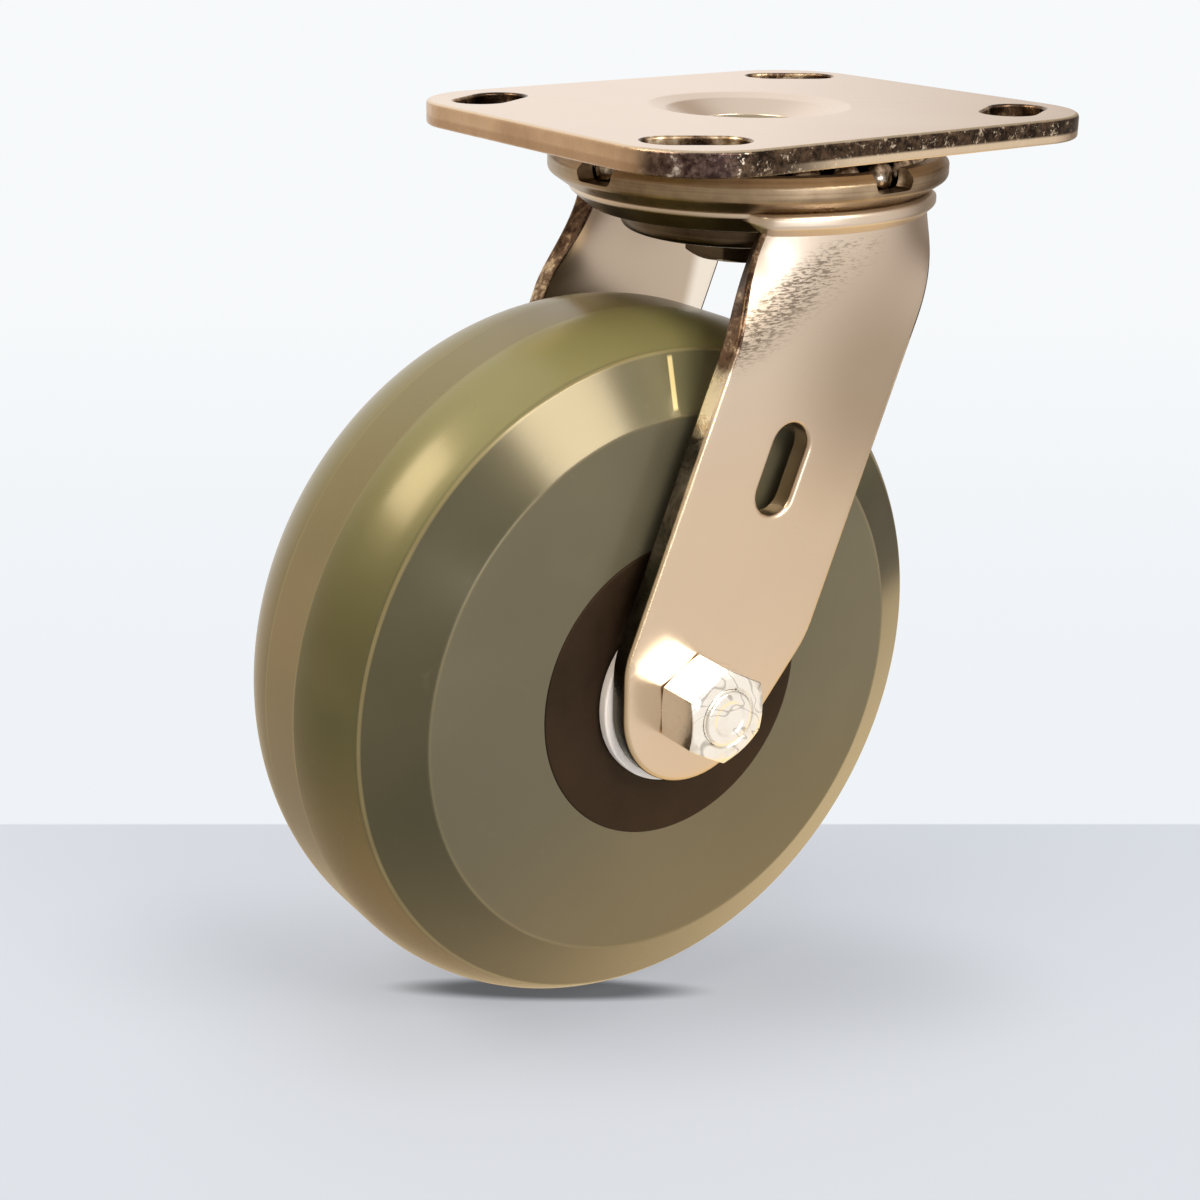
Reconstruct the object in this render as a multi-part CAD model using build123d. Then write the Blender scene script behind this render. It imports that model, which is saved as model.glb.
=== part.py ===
from build123d import *
import os
from math import asin, cos, radians, sin, sqrt, tan

# Swivel plate castor in stainless steel, with a solid polyurethane wheel.
# Millimetres. The origin is the centre of the mounting face, on the swivel axis.
# +Z is up, +X is the way the castor travels, and the wheel trails towards -X.

# Overall sizes; with the stack of plate, races and crown they make the height 190.5
WHEEL_DIAMETER = 152.4
LEAD = 38.1
WHEEL_BELOW_CROWN = 17.04

# Top plate
PLATE_END_MARGIN = 5.56
PLATE_SIDE_MARGIN = 7.15
PLATE_THICKNESS = 5.0
PLATE_CORNER_RADIUS = 19.0
PLATE_EDGE_BREAK = 0.5
SLOT_WIDTH = 11.1
SLOT_LONG_SPACING = (92.08, 66.68)
SLOT_SQUARE_SPACING = 76.2
DISH_RADIUS = 21.4
DISH_DEPTH = 3.7
DISH_LIP_RADIUS = 17.6
DISH_LIP_DEPTH = 0.9
BOSS_WALL = 3.2
BOSS_BEVEL = 1.5

# Kingpin
KINGPIN_HEAD_RADIUS = 11.9
KINGPIN_HEAD_HEIGHT = 3.8
KINGPIN_HEAD_CHAMFER = 0.5
KINGPIN_RADIUS = 9.5
KINGPIN_THREAD_RADIUS = 7.15
KINGPIN_END_STAND = 0.6
KINGPIN_NUT_ACROSS_FLATS = 22.2
KINGPIN_NUT_HEIGHT = 6.0

# Upper ball race, which carries the load
UPPER_BALL_DIAMETER = 7.94
UPPER_BALL_COUNT = 26
UPPER_BALL_PITCH_RADIUS = 34.9
UPPER_BALL_TOP_GAP = 1.95
UPPER_RACE_BORE_RADIUS = 22.0
UPPER_RACE_RADIUS = 36.0
UPPER_RACE_BELOW_CENTRE = 1.5
RACE_CUP_RADIUS = 42.6
RACE_CUP_FOOT_RADIUS = 38.6
RACE_CUP_BORE_RADIUS = 26.0
RACE_CUP_WEB = 1.36
RACE_CUP_FLOOR_BELOW_CENTRE = 2.9
RACE_CUP_RIM_ABOVE_CENTRE = 2.1
RACE_CUP_RIM_WALL = 2.0
RACE_CUP_TOP_BEVEL = 1.8
RACE_CUP_FOOT_BEVEL = 2.8
NOTCH_COUNT = 4
NOTCH_WIDTH = 10.5
NOTCH_DEPTH = 4.0
NOTCH_ROUND = 1.6
NOTCH_TURN = 4.2

# Lower ball race, which keeps the fork on the kingpin
LOWER_BALL_DIAMETER = 4.76
LOWER_BALL_COUNT = 24
LOWER_BALL_PITCH_RADIUS = 20.3
LOWER_GROOVE_DEPTH = 1.0
LOWER_RACE_RADIUS = 26.9
LOWER_RACE_THICKNESS = 2.0
LOWER_RACE_BEVEL = 1.6
LOWER_RACE_RIM_GAP = 0.8

# Clearances
BALL_CLEARANCE = 0.05
BOLT_CLEARANCE = 0.1
THREAD_CLEARANCE = 0.05
ROLLER_CLEARANCE = 0.03
CAGE_CLEARANCE = 0.12
HUB_SIDE_CLEARANCE = 0.15
HEAD_POCKET_CLEARANCE = 0.15

# Fork, pressed from one sheet
FORK_SHEET = 4.76
LEG_TOP_RADIUS = 38.4
CROWN_RIM_INSET = 0.4
CROWN_BOWL_INSET = 4.8
CROWN_BORE_RADIUS = 13.0
CROWN_RIM_HEIGHT = 1.1
SHOULDER_STAND = 2.0
SHOULDER_HEIGHT = 4.1
SHOULDER_BEVEL = 0.7
WHEEL_SIDE_GAP = 2.84
LEG_FLAT_BELOW_CROWN = 21.0
LEG_BEND_STEPS = 4
LEG_TOP_BITE = 2.4
LEG_RAKE = 22.4
LEG_WIDTH = 45.5
LEG_FORWARD_OFFSET = 1.9
LEG_END_RADIUS = 17.9
LEG_END_TAPER = 40.6
LEG_REAR_BEND_RADIUS = 16.0
LEG_FRONT_BEND_RADIUS = 22.0
LEG_SLOT_LENGTH = 19.5
LEG_SLOT_WIDTH = 9.35
LEG_SLOT_BELOW_PLATE = 68.6
LEG_SLOT_EDGE_BREAK = 0.6

# Axle
AXLE_RADIUS = 6.0
AXLE_HEX_ACROSS_FLATS = 18.0
AXLE_HEAD_HEIGHT = 7.5
AXLE_NUT_HEIGHT = 10.4
AXLE_END_STAND = 0.6
AXLE_END_CHAMFER = 0.9
HEX_CHAMFER_ANGLE = 30.0
SLEEVE_RADIUS = 9.525
THRUST_WASHER_RADIUS = 19.5

# Wheel
TYRE_WIDTH = 56.4
TYRE_FACE_RADIUS = 58.6
TYRE_SHOULDER_RADIUS = 70.4
TYRE_TREAD_WIDTH = 43.4
TYRE_FLAT_WIDTH = 12.0
HUB_RADIUS = 32.3
HUB_STAND = 0.3
HUB_KEY_HEIGHT = 4.5
HUB_KEY_WIDTH = 18.0
LINER_WALL = 1.6
LINER_END_RECESS = 1.0

# Roller bearing in the hub
ROLLER_DIAMETER = 6.35
ROLLER_COUNT = 9
ROLLER_SIDES = 16
ROLLER_LENGTH = 46.0
CAGE_WALL = 2.8
CAGE_END_RING = 2.6

# Levels and radii that follow from the sizes above
plate_length = SLOT_LONG_SPACING[0] + SLOT_WIDTH + 2 * PLATE_END_MARGIN
plate_width = SLOT_SQUARE_SPACING + SLOT_WIDTH + 2 * PLATE_SIDE_MARGIN
plate_bottom = -PLATE_THICKNESS
upper_ball_radius = UPPER_BALL_DIAMETER / 2
upper_groove_radius = upper_ball_radius + BALL_CLEARANCE
upper_ball_level = plate_bottom - UPPER_BALL_TOP_GAP - upper_ball_radius
crown_top = upper_ball_level - upper_groove_radius - RACE_CUP_WEB
crown_bottom = crown_top - FORK_SHEET
wheel_radius = WHEEL_DIAMETER / 2
axle_level = crown_bottom - WHEEL_BELOW_CROWN - wheel_radius
lower_ball_radius = LOWER_BALL_DIAMETER / 2
lower_groove_radius = lower_ball_radius + BALL_CLEARANCE
lower_ball_level = crown_bottom + LOWER_GROOVE_DEPTH - lower_groove_radius
lower_race_top = lower_ball_level - lower_groove_radius + LOWER_GROOVE_DEPTH
lower_race_bottom = lower_race_top - LOWER_RACE_THICKNESS
kingpin_nut_bottom = lower_race_bottom - KINGPIN_NUT_HEIGHT
kingpin_head_top = -DISH_DEPTH
kingpin_head_bottom = kingpin_head_top - KINGPIN_HEAD_HEIGHT
boss_bottom = kingpin_head_bottom - BOSS_WALL
leg_inner_half_span = TYRE_WIDTH / 2 + WHEEL_SIDE_GAP
leg_outer_half_span = leg_inner_half_span + FORK_SHEET
leg_flat_level = crown_bottom - LEG_FLAT_BELOW_CROWN
crown_radius = LEG_TOP_RADIUS - CROWN_RIM_INSET
crown_bowl_radius = LEG_TOP_RADIUS - CROWN_BOWL_INSET
shoulder_radius = LEG_TOP_RADIUS + SHOULDER_STAND
hub_half_length = TYRE_WIDTH / 2 + HUB_STAND
liner_bore_radius = SLEEVE_RADIUS + ROLLER_DIAMETER
liner_radius = liner_bore_radius + LINER_WALL
bolt_hole_radius = AXLE_RADIUS + BOLT_CLEARANCE
roller_pitch_radius = SLEEVE_RADIUS + ROLLER_DIAMETER / 2

# The wheel's own frame: local Z runs along the axle, towards +Y.
wheel_frame = Pos(-LEAD, 0, axle_level) * Rot(-90, 0, 0)

# Facets of a bearing ball, which is small and many times repeated, and of its track
BALL_SIDES = 6
BALL_BANDS = 3
BALL_END_LATITUDE = 67.5
GROOVE_SIDES = 8


def turned(points):
    """A solid of revolution about Z from a closed outline of (radius, level) points."""
    outline = make_face(Polyline(*[(r, 0, z) for r, z in points], close=True))
    return revolve(outline, Axis.Z)


def ring(inner_radius, outer_radius, low, high):
    """A plain ring or tube about Z."""
    return turned([(inner_radius, low), (outer_radius, low), (outer_radius, high), (inner_radius, high)])


def groove(pitch_radius, groove_radius, level):
    """The track of a row of balls, in flats that all touch the balls' own path."""
    half_turn = 180 / GROOVE_SIDES
    section = RegularPolygon(groove_radius, GROOVE_SIDES, major_radius=False, rotation=half_turn)
    return revolve(Plane.XZ * Pos(pitch_radius, level) * section, Axis.Z)


def ball(radius):
    """A bearing ball in flat facets, its corners on the true sphere."""
    rings = []
    for band in range(BALL_BANDS + 1):
        latitude = radians(BALL_END_LATITUDE * (2 * band / BALL_BANDS - 1))
        turns = [radians(360 * side / BALL_SIDES) for side in range(BALL_SIDES)]
        across = radius * cos(latitude)
        rings.append([(across * cos(a), across * sin(a), radius * sin(latitude)) for a in turns])
    outlines = [rings[0], rings[-1]]
    for low, high in zip(rings, rings[1:]):
        for side in range(BALL_SIDES):
            outlines.append([low[side - 1], low[side], high[side], high[side - 1]])
    return Solid(Shell([Face(Wire.make_polygon(corners)) for corners in outlines]))


def ball_row(radius, pitch_radius, level, count):
    """Separate balls, evenly spaced round the swivel axis."""
    one = Pos(pitch_radius, 0, level) * ball(radius)
    return Compound([Rot(0, 0, 360 * i / count) * one for i in range(count)])


def hex_prism(across_flats, height, chamfered_end):
    """A hexagon standing on Z = 0 with corners along Y, its low or high end turned to a cone."""
    corner_radius = across_flats / sqrt(3)
    prism = extrude(RegularPolygon(corner_radius, 6, rotation=90), height)
    turned_depth = (corner_radius - across_flats / 2) * tan(radians(HEX_CHAMFER_ANGLE))
    outline = [(0, 0), (corner_radius, 0), (corner_radius, height), (0, height)]
    if chamfered_end == "low":
        outline[1:2] = [(across_flats / 2, 0), (corner_radius, turned_depth)]
    else:
        outline[2:3] = [(corner_radius, height - turned_depth), (across_flats / 2, height)]
    return prism & turned(outline)


def plate_slots():
    """Cutters for the four diagonal bolt slots, each between its two standard hole places."""
    outer_x = SLOT_LONG_SPACING[0] / 2
    outer_y = SLOT_LONG_SPACING[1] / 2
    inner = SLOT_SQUARE_SPACING / 2
    cutters = []
    for side_x in (-1, 1):
        for side_y in (-1, 1):
            path = Line((side_x * outer_x, side_y * outer_y), (side_x * inner, side_y * inner))
            profile = SlotCenterPoint(path @ 0.5, path @ 1, SLOT_WIDTH)
            cutters.append(Pos(0, 0, plate_bottom) * extrude(profile, PLATE_THICKNESS))
    return cutters


def make_top_plate():
    """The mounting plate: a dished middle for the kingpin's head, with a pressed boss below it."""
    outline = RectangleRounded(plate_length, plate_width, PLATE_CORNER_RADIUS)
    sheet = Pos(0, 0, plate_bottom) * extrude(outline, PLATE_THICKNESS)
    rims = sheet.faces().filter_by(Axis.Z).edges()
    sheet = chamfer(rims, PLATE_EDGE_BREAK)
    for cutter in plate_slots():
        sheet -= cutter
    pocket_radius = KINGPIN_HEAD_RADIUS + HEAD_POCKET_CLEARANCE
    boss_radius = pocket_radius + BOSS_WALL
    boss = ring(0, boss_radius, boss_bottom, plate_bottom)
    boss = chamfer(boss.edges().group_by(Axis.Z)[0], BOSS_BEVEL)
    dish = turned([
        (0, 0),
        (DISH_RADIUS, 0),
        (DISH_LIP_RADIUS, -DISH_LIP_DEPTH),
        (pocket_radius, kingpin_head_top),
        (0, kingpin_head_top),
    ])
    pocket = ring(0, pocket_radius, kingpin_head_bottom, kingpin_head_top)
    shank_hole = ring(0, KINGPIN_RADIUS + BOLT_CLEARANCE, boss_bottom, kingpin_head_bottom)
    return sheet + boss - dish - pocket - shank_hole


def make_kingpin():
    """A shouldered pin: head in the plate's pocket, shank through the stack, thread for the nut."""
    end = kingpin_nut_bottom - KINGPIN_END_STAND
    head = ring(0, KINGPIN_HEAD_RADIUS, kingpin_head_bottom, kingpin_head_top)
    head = chamfer(head.edges().group_by(Axis.Z)[-1], KINGPIN_HEAD_CHAMFER)
    shank = ring(0, KINGPIN_RADIUS, lower_race_top, kingpin_head_bottom)
    thread = ring(0, KINGPIN_THREAD_RADIUS, end, lower_race_top)
    thread = chamfer(thread.edges().group_by(Axis.Z)[0], AXLE_END_CHAMFER)
    return head + shank + thread


def make_kingpin_nut():
    """The hexagon nut that draws the stack together."""
    nut = hex_prism(KINGPIN_NUT_ACROSS_FLATS, KINGPIN_NUT_HEIGHT, "low")
    bore = ring(0, KINGPIN_THREAD_RADIUS + THREAD_CLEARANCE, 0, KINGPIN_NUT_HEIGHT)
    return Pos(0, 0, kingpin_nut_bottom) * (nut - bore)


def make_upper_race():
    """The hardened ring under the plate, with the balls' track on its outer lower corner."""
    low = upper_ball_level - UPPER_RACE_BELOW_CENTRE
    blank = ring(UPPER_RACE_BORE_RADIUS, UPPER_RACE_RADIUS, low, plate_bottom)
    return blank - groove(UPPER_BALL_PITCH_RADIUS, upper_groove_radius, upper_ball_level)


def make_race_cup():
    """The ring on the fork's crown that the load balls run in, with a notch near each quarter."""
    wall_radius = UPPER_BALL_PITCH_RADIUS + upper_groove_radius
    floor = upper_ball_level - RACE_CUP_FLOOR_BELOW_CENTRE
    rim = upper_ball_level + RACE_CUP_RIM_ABOVE_CENTRE
    cup = turned([
        (RACE_CUP_BORE_RADIUS, crown_top),
        (RACE_CUP_FOOT_RADIUS, crown_top),
        (RACE_CUP_RADIUS, crown_top + RACE_CUP_FOOT_BEVEL),
        (RACE_CUP_RADIUS, rim - RACE_CUP_TOP_BEVEL),
        (wall_radius + RACE_CUP_RIM_WALL, rim),
        (wall_radius, rim),
        (wall_radius, upper_ball_level),
        (UPPER_BALL_PITCH_RADIUS, upper_ball_level),
        (UPPER_BALL_PITCH_RADIUS, floor),
        (RACE_CUP_BORE_RADIUS, floor),
    ])
    cup -= groove(UPPER_BALL_PITCH_RADIUS, upper_groove_radius, upper_ball_level)
    reach = RACE_CUP_RADIUS - UPPER_BALL_PITCH_RADIUS + 1
    blank = Box(reach, NOTCH_WIDTH, NOTCH_DEPTH * 2)
    blank = fillet(blank.edges().filter_by(Axis.X).group_by(Axis.Z)[0], NOTCH_ROUND)
    notch = Pos(UPPER_BALL_PITCH_RADIUS + reach / 2, 0, rim) * blank
    for i in range(NOTCH_COUNT):
        cup -= Rot(0, 0, NOTCH_TURN + 360 * i / NOTCH_COUNT) * notch
    return cup


def make_lower_race():
    """The retaining cup: a pressed disc with an upturned rim, held up by the kingpin's nut."""
    rim_top = crown_bottom - LOWER_RACE_RIM_GAP
    bore = KINGPIN_THREAD_RADIUS + BOLT_CLEARANCE
    wall = LOWER_RACE_RADIUS - LOWER_RACE_THICKNESS
    cup = turned([
        (bore, lower_race_bottom),
        (LOWER_RACE_RADIUS, lower_race_bottom),
        (LOWER_RACE_RADIUS, rim_top),
        (wall, rim_top),
        (wall, lower_race_top),
        (bore, lower_race_top),
    ])
    rims = cup.edges().filter_by(GeomType.CIRCLE)
    corner = rims.sort_by_distance((LOWER_RACE_RADIUS, 0, lower_race_bottom))[0]
    cup = chamfer(corner, LOWER_RACE_BEVEL)
    return cup - groove(LOWER_BALL_PITCH_RADIUS, lower_groove_radius, lower_ball_level)


def smooth_step(t):
    """Eases from 0 to 1 with no slope at either end."""
    return t * t * (3 - 2 * t)


def leg_edge(forward, level):
    """How far forward the leg's raked centreline, shifted by a distance across it, is at a level."""
    lean = radians(LEG_RAKE)
    along_x = (LEG_FORWARD_OFFSET + forward) / cos(lean)
    return -LEAD + along_x + (level - axle_level) * tan(lean)


def leg_section(t, level):
    """The sheet's section at a height: wrapped on the crown's circle at t = 0, flat at t = 1."""
    ease = smooth_step(t)
    outer_y = LEG_TOP_RADIUS + (leg_outer_half_span - LEG_TOP_RADIUS) * ease
    edges_x = (leg_edge(-LEG_WIDTH / 2, level), leg_edge(LEG_WIDTH / 2, level))
    sides = []
    for depth in (0, FORK_SHEET):
        if ease == 1:
            sides.append(Line(*[(x, outer_y - depth) for x in edges_x]))
            continue
        bend = LEG_TOP_RADIUS / (1 - ease)
        turns = [asin(x / bend) for x in edges_x]
        turns.insert(1, sum(turns) / 2)
        radius = bend - depth
        centre_y = outer_y - bend
        sides.append(ThreePointArc(*[(radius * sin(a), centre_y + radius * cos(a)) for a in turns]))
    outer, inner = sides
    ends = [Line(outer @ 0, inner @ 0), Line(outer @ 1, inner @ 1)]
    return Pos(0, 0, level) * make_face(Curve() + [outer, ends[0], inner, ends[1]])


def leg_outline():
    """The leg's flat outline in the XZ plane, from inside the crown down to the axle's boss."""
    lean = radians(LEG_RAKE)
    half = LEG_WIDTH / 2
    top = crown_bottom + LEG_TOP_BITE
    rear_x = -LEAD - LEG_END_RADIUS
    rear_bend_level = axle_level + (rear_x - leg_edge(-half, axle_level)) / tan(lean)
    taper = radians(LEG_END_TAPER)
    touch = (-LEAD + LEG_END_RADIUS * cos(taper), axle_level - LEG_END_RADIUS * sin(taper))
    gap = leg_edge(half, touch[1]) - touch[0]
    run = gap / (tan(taper) - tan(lean))
    front_bend = (touch[0] + run * tan(taper), touch[1] + run)
    outline = make_face(Polyline(
        (leg_edge(-half, top), top),
        (rear_x, rear_bend_level),
        (rear_x, axle_level),
        (-LEAD, axle_level),
        touch,
        front_bend,
        (leg_edge(half, top), top),
        close=True,
    ))
    outline += Pos(-LEAD, axle_level) * Circle(LEG_END_RADIUS)
    rear_corner = outline.vertices().sort_by_distance((rear_x, rear_bend_level, 0))[0]
    outline = fillet(rear_corner, LEG_REAR_BEND_RADIUS)
    front_corner = outline.vertices().sort_by_distance((front_bend[0], front_bend[1], 0))[0]
    return fillet(front_corner, LEG_FRONT_BEND_RADIUS)


def make_leg():
    """The leg on the +Y side: a raked strip that is flat below and wraps round the crown above."""
    upright = Rot(90, 0, 0)
    outline = upright * leg_outline()
    prism = extrude(outline, leg_outer_half_span * 2, dir=(0, 1, 0))
    depth = crown_top - axle_level + LEG_END_RADIUS
    flat_zone = Pos(-LEAD, leg_inner_half_span + FORK_SHEET / 2, leg_flat_level - depth / 2)
    lower = prism & flat_zone * Box(depth * 2, FORK_SHEET, depth)
    slot_x = leg_edge(0, -LEG_SLOT_BELOW_PLATE)
    slot = SlotOverall(LEG_SLOT_LENGTH, LEG_SLOT_WIDTH, rotation=90 - LEG_RAKE)
    slot = upright * Pos(slot_x, -LEG_SLOT_BELOW_PLATE) * slot
    lower -= extrude(slot, leg_outer_half_span * 2, dir=(0, 1, 0))
    outer_face = lower.faces().sort_by(Axis.Y)[-1]
    slot_rim = outer_face.inner_wires()[0].edges()
    lower = chamfer(slot_rim, LEG_SLOT_EDGE_BREAK)
    top = crown_bottom + LEG_TOP_BITE
    sections = []
    for i in range(LEG_BEND_STEPS + 1):
        t = i / LEG_BEND_STEPS
        sections.append(leg_section(t, top + (leg_flat_level - top) * t))
    leg = lower + loft(sections)
    return leg - wheel_frame * ring(0, bolt_hole_radius, 0, leg_outer_half_span * 2)


def make_shoulder():
    """The rounded band where the sheet turns from the crown down into the +Y leg."""
    low = crown_top - SHOULDER_HEIGHT
    band = ring(LEG_TOP_RADIUS - FORK_SHEET, shoulder_radius, low, crown_top)
    rims = band.edges().filter_by(GeomType.CIRCLE).group_by(SortBy.RADIUS)[-1]
    band = chamfer(rims, SHOULDER_BEVEL)
    edges_x = (leg_edge(-LEG_WIDTH / 2, low), leg_edge(LEG_WIDTH / 2, low))
    turns = [asin(x / LEG_TOP_RADIUS) for x in edges_x]
    far = shoulder_radius * 2
    corners = [(far * sin(a), far * cos(a)) for a in turns]
    wedge = make_face(Polyline((0, 0), *corners, close=True))
    return band & Pos(0, 0, low) * extrude(wedge, SHOULDER_HEIGHT)


def make_fork():
    """Crown and two legs in one piece, with the lower balls' track under the crown's bowl."""
    crown = turned([
        (CROWN_BORE_RADIUS, crown_bottom),
        (crown_bowl_radius, crown_bottom),
        (crown_radius, crown_top - CROWN_RIM_HEIGHT),
        (crown_radius, crown_top),
        (CROWN_BORE_RADIUS, crown_top),
    ])
    side = make_leg() + make_shoulder()
    fork = crown + side + mirror(side, Plane.XZ)
    return fork - groove(LOWER_BALL_PITCH_RADIUS, lower_groove_radius, lower_ball_level)


def make_axle_bolt():
    """The hexagon bolt through fork and sleeve, its head on the +Y side."""
    end = -leg_outer_half_span - AXLE_NUT_HEIGHT - AXLE_END_STAND
    shank = ring(0, AXLE_RADIUS, end, leg_outer_half_span)
    shank = chamfer(shank.edges().group_by(Axis.Z)[0], AXLE_END_CHAMFER)
    head = hex_prism(AXLE_HEX_ACROSS_FLATS, AXLE_HEAD_HEIGHT, "high")
    return wheel_frame * (shank + Pos(0, 0, leg_outer_half_span) * head)


def make_axle_nut():
    """The hexagon nut on the -Y side, with a corner straight up."""
    nut = hex_prism(AXLE_HEX_ACROSS_FLATS, AXLE_NUT_HEIGHT, "low")
    nut -= ring(0, AXLE_RADIUS + THREAD_CLEARANCE, 0, AXLE_NUT_HEIGHT)
    return wheel_frame * Pos(0, 0, -leg_outer_half_span - AXLE_NUT_HEIGHT) * nut


def make_axle_sleeve():
    """The hardened tube between the legs that the bolt clamps and the rollers run on."""
    tube = ring(bolt_hole_radius, SLEEVE_RADIUS, -leg_inner_half_span, leg_inner_half_span)
    return wheel_frame * tube


def make_thrust_washer(side):
    """The white washer between a leg and the wheel's hub."""
    inner_radius = SLEEVE_RADIUS + BOLT_CLEARANCE
    low = hub_half_length + HUB_SIDE_CLEARANCE
    washer = ring(inner_radius, THRUST_WASHER_RADIUS, low, leg_inner_half_span)
    if side < 0:
        washer = mirror(washer, Plane.XY)
    return wheel_frame * washer


def hub_bond_points():
    """Where tyre and hub are bonded, end to end: a plain bed with a raised key that locks them."""
    half = TYRE_WIDTH / 2
    key = HUB_KEY_WIDTH / 2
    key_radius = HUB_RADIUS + HUB_KEY_HEIGHT
    bed_and_key = [(HUB_RADIUS, half), (HUB_RADIUS, key), (key_radius, key)]
    return bed_and_key + [(r, -z) for r, z in reversed(bed_and_key)]


def make_tyre():
    """The solid polyurethane tyre: flat sides, a wide bevel, rounded shoulders and a flat band."""
    half = TYRE_WIDTH / 2
    tread = TYRE_TREAD_WIDTH / 2
    flat = TYRE_FLAT_WIDTH / 2
    side = Polyline(
        (TYRE_SHOULDER_RADIUS, 0, tread),
        (TYRE_FACE_RADIUS, 0, half),
        *[(r, 0, z) for r, z in hub_bond_points()],
        (TYRE_FACE_RADIUS, 0, -half),
        (TYRE_SHOULDER_RADIUS, 0, -tread),
    )
    band = Line((wheel_radius, 0, -flat), (wheel_radius, 0, flat))
    shoulder = TangentArc(band @ 1, side @ 0, tangent=(0, 0, 1))
    outline = Curve() + [side, band, shoulder, mirror(shoulder, Plane.XY)]
    return wheel_frame * revolve(make_face(outline), Axis.Z)


def make_hub_core():
    """The brown hub, keyed into the tyre and bored for the bearing's liner."""
    outline = [(liner_radius, hub_half_length), (HUB_RADIUS, hub_half_length)]
    outline += hub_bond_points()[1:-1]
    outline += [(HUB_RADIUS, -hub_half_length), (liner_radius, -hub_half_length)]
    return wheel_frame * turned(outline)


def make_hub_liner():
    """The hardened tube in the hub that the rollers run in."""
    end = hub_half_length - LINER_END_RECESS
    return wheel_frame * ring(liner_bore_radius, liner_radius, -end, end)


def roller_places():
    """The rollers' places round the axle, in the wheel's frame."""
    return [Rot(0, 0, 360 * i / ROLLER_COUNT) * Pos(roller_pitch_radius, 0, 0) for i in range(ROLLER_COUNT)]


def make_bearing_rollers():
    """Separate rollers between the sleeve and the hub's liner."""
    half = ROLLER_LENGTH / 2
    section = RegularPolygon(ROLLER_DIAMETER / 2 - ROLLER_CLEARANCE, ROLLER_SIDES)
    roller = Pos(0, 0, -half) * extrude(section, ROLLER_LENGTH)
    return Compound([wheel_frame * place * roller for place in roller_places()])


def make_roller_cage():
    """The cage: two end rings joined by a bar between each pair of rollers."""
    window_half = ROLLER_LENGTH / 2 + CAGE_CLEARANCE
    end = window_half + CAGE_END_RING
    inner_radius = roller_pitch_radius - CAGE_WALL / 2
    cage = ring(inner_radius, inner_radius + CAGE_WALL, -end, end)
    window = Box(CAGE_WALL * 2, ROLLER_DIAMETER + 2 * CAGE_CLEARANCE, window_half * 2)
    for place in roller_places():
        cage -= place * window
    return wheel_frame * cage


def all_pieces():
    """Every node of the castor, by name."""
    return {
        "top_plate": make_top_plate(),
        "kingpin": make_kingpin(),
        "kingpin_nut": make_kingpin_nut(),
        "upper_race": make_upper_race(),
        "upper_balls": ball_row(
            upper_ball_radius, UPPER_BALL_PITCH_RADIUS, upper_ball_level, UPPER_BALL_COUNT
        ),
        "race_cup": make_race_cup(),
        "lower_balls": ball_row(
            lower_ball_radius, LOWER_BALL_PITCH_RADIUS, lower_ball_level, LOWER_BALL_COUNT
        ),
        "lower_race": make_lower_race(),
        "fork": make_fork(),
        "axle_bolt": make_axle_bolt(),
        "axle_nut": make_axle_nut(),
        "axle_sleeve": make_axle_sleeve(),
        "thrust_washer_near": make_thrust_washer(-1),
        "thrust_washer_far": make_thrust_washer(1),
        "tyre": make_tyre(),
        "hub_core": make_hub_core(),
        "hub_liner": make_hub_liner(),
        "bearing_rollers": make_bearing_rollers(),
        "roller_cage": make_roller_cage(),
    }


os.makedirs("parts", exist_ok=True)
for name, piece in all_pieces().items():
    export_step(piece, f"parts/{name}.step")
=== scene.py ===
from math import asin, atan2, cos, hypot, pi, radians, sin, sqrt, tan

import bmesh
import bpy
from mathutils import Matrix, Vector
from mathutils.geometry import delaunay_2d_cdt


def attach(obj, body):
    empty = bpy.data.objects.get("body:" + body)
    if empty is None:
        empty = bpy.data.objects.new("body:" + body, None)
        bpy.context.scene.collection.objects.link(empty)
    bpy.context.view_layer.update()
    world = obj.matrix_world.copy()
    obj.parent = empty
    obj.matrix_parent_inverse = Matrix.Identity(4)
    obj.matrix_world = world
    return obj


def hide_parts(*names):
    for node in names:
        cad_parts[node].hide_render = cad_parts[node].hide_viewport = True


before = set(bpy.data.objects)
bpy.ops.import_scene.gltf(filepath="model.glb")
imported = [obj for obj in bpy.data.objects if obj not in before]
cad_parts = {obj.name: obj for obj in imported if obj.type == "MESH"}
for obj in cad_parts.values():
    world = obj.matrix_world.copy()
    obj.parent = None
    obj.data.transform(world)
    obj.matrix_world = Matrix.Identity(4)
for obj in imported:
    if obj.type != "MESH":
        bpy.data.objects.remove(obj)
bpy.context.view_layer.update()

# Lengths are written in millimetres, as in the solids, and turned to metres when a mesh is made.
MM = 0.001

# Sizes shared with the solids
LEAD = 38.1
AXLE_LEVEL = -114.3
WHEEL_RADIUS = 76.2
PLATE_HALF = (57.15, 50.8)
PLATE_THICKNESS = 5.0
PLATE_CORNER_RADIUS = 19.0
SLOT_HALF_WIDTH = 5.55
SLOT_OUTER = (46.04, 33.34)
SLOT_INNER = 38.1
UPPER_BALL_RADIUS = 3.97
UPPER_BALL_PITCH = 34.9
UPPER_BALL_LEVEL = -10.92
UPPER_GROOVE_RADIUS = 4.02
LOWER_BALL_RADIUS = 2.38
LOWER_BALL_PITCH = 20.3
LOWER_BALL_LEVEL = -22.49
LOWER_GROOVE_RADIUS = 2.43
CROWN_TOP = -16.3
CROWN_BOTTOM = -21.06
SHEET = 4.76
LEG_TOP_RADIUS = 38.4
LEG_OUTER = 35.8
LEG_INNER = 31.04
LEG_BEND_TOP = -18.66
LEG_BEND_HEIGHT = 23.4
LEG_RAKE = radians(22.4)
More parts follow.
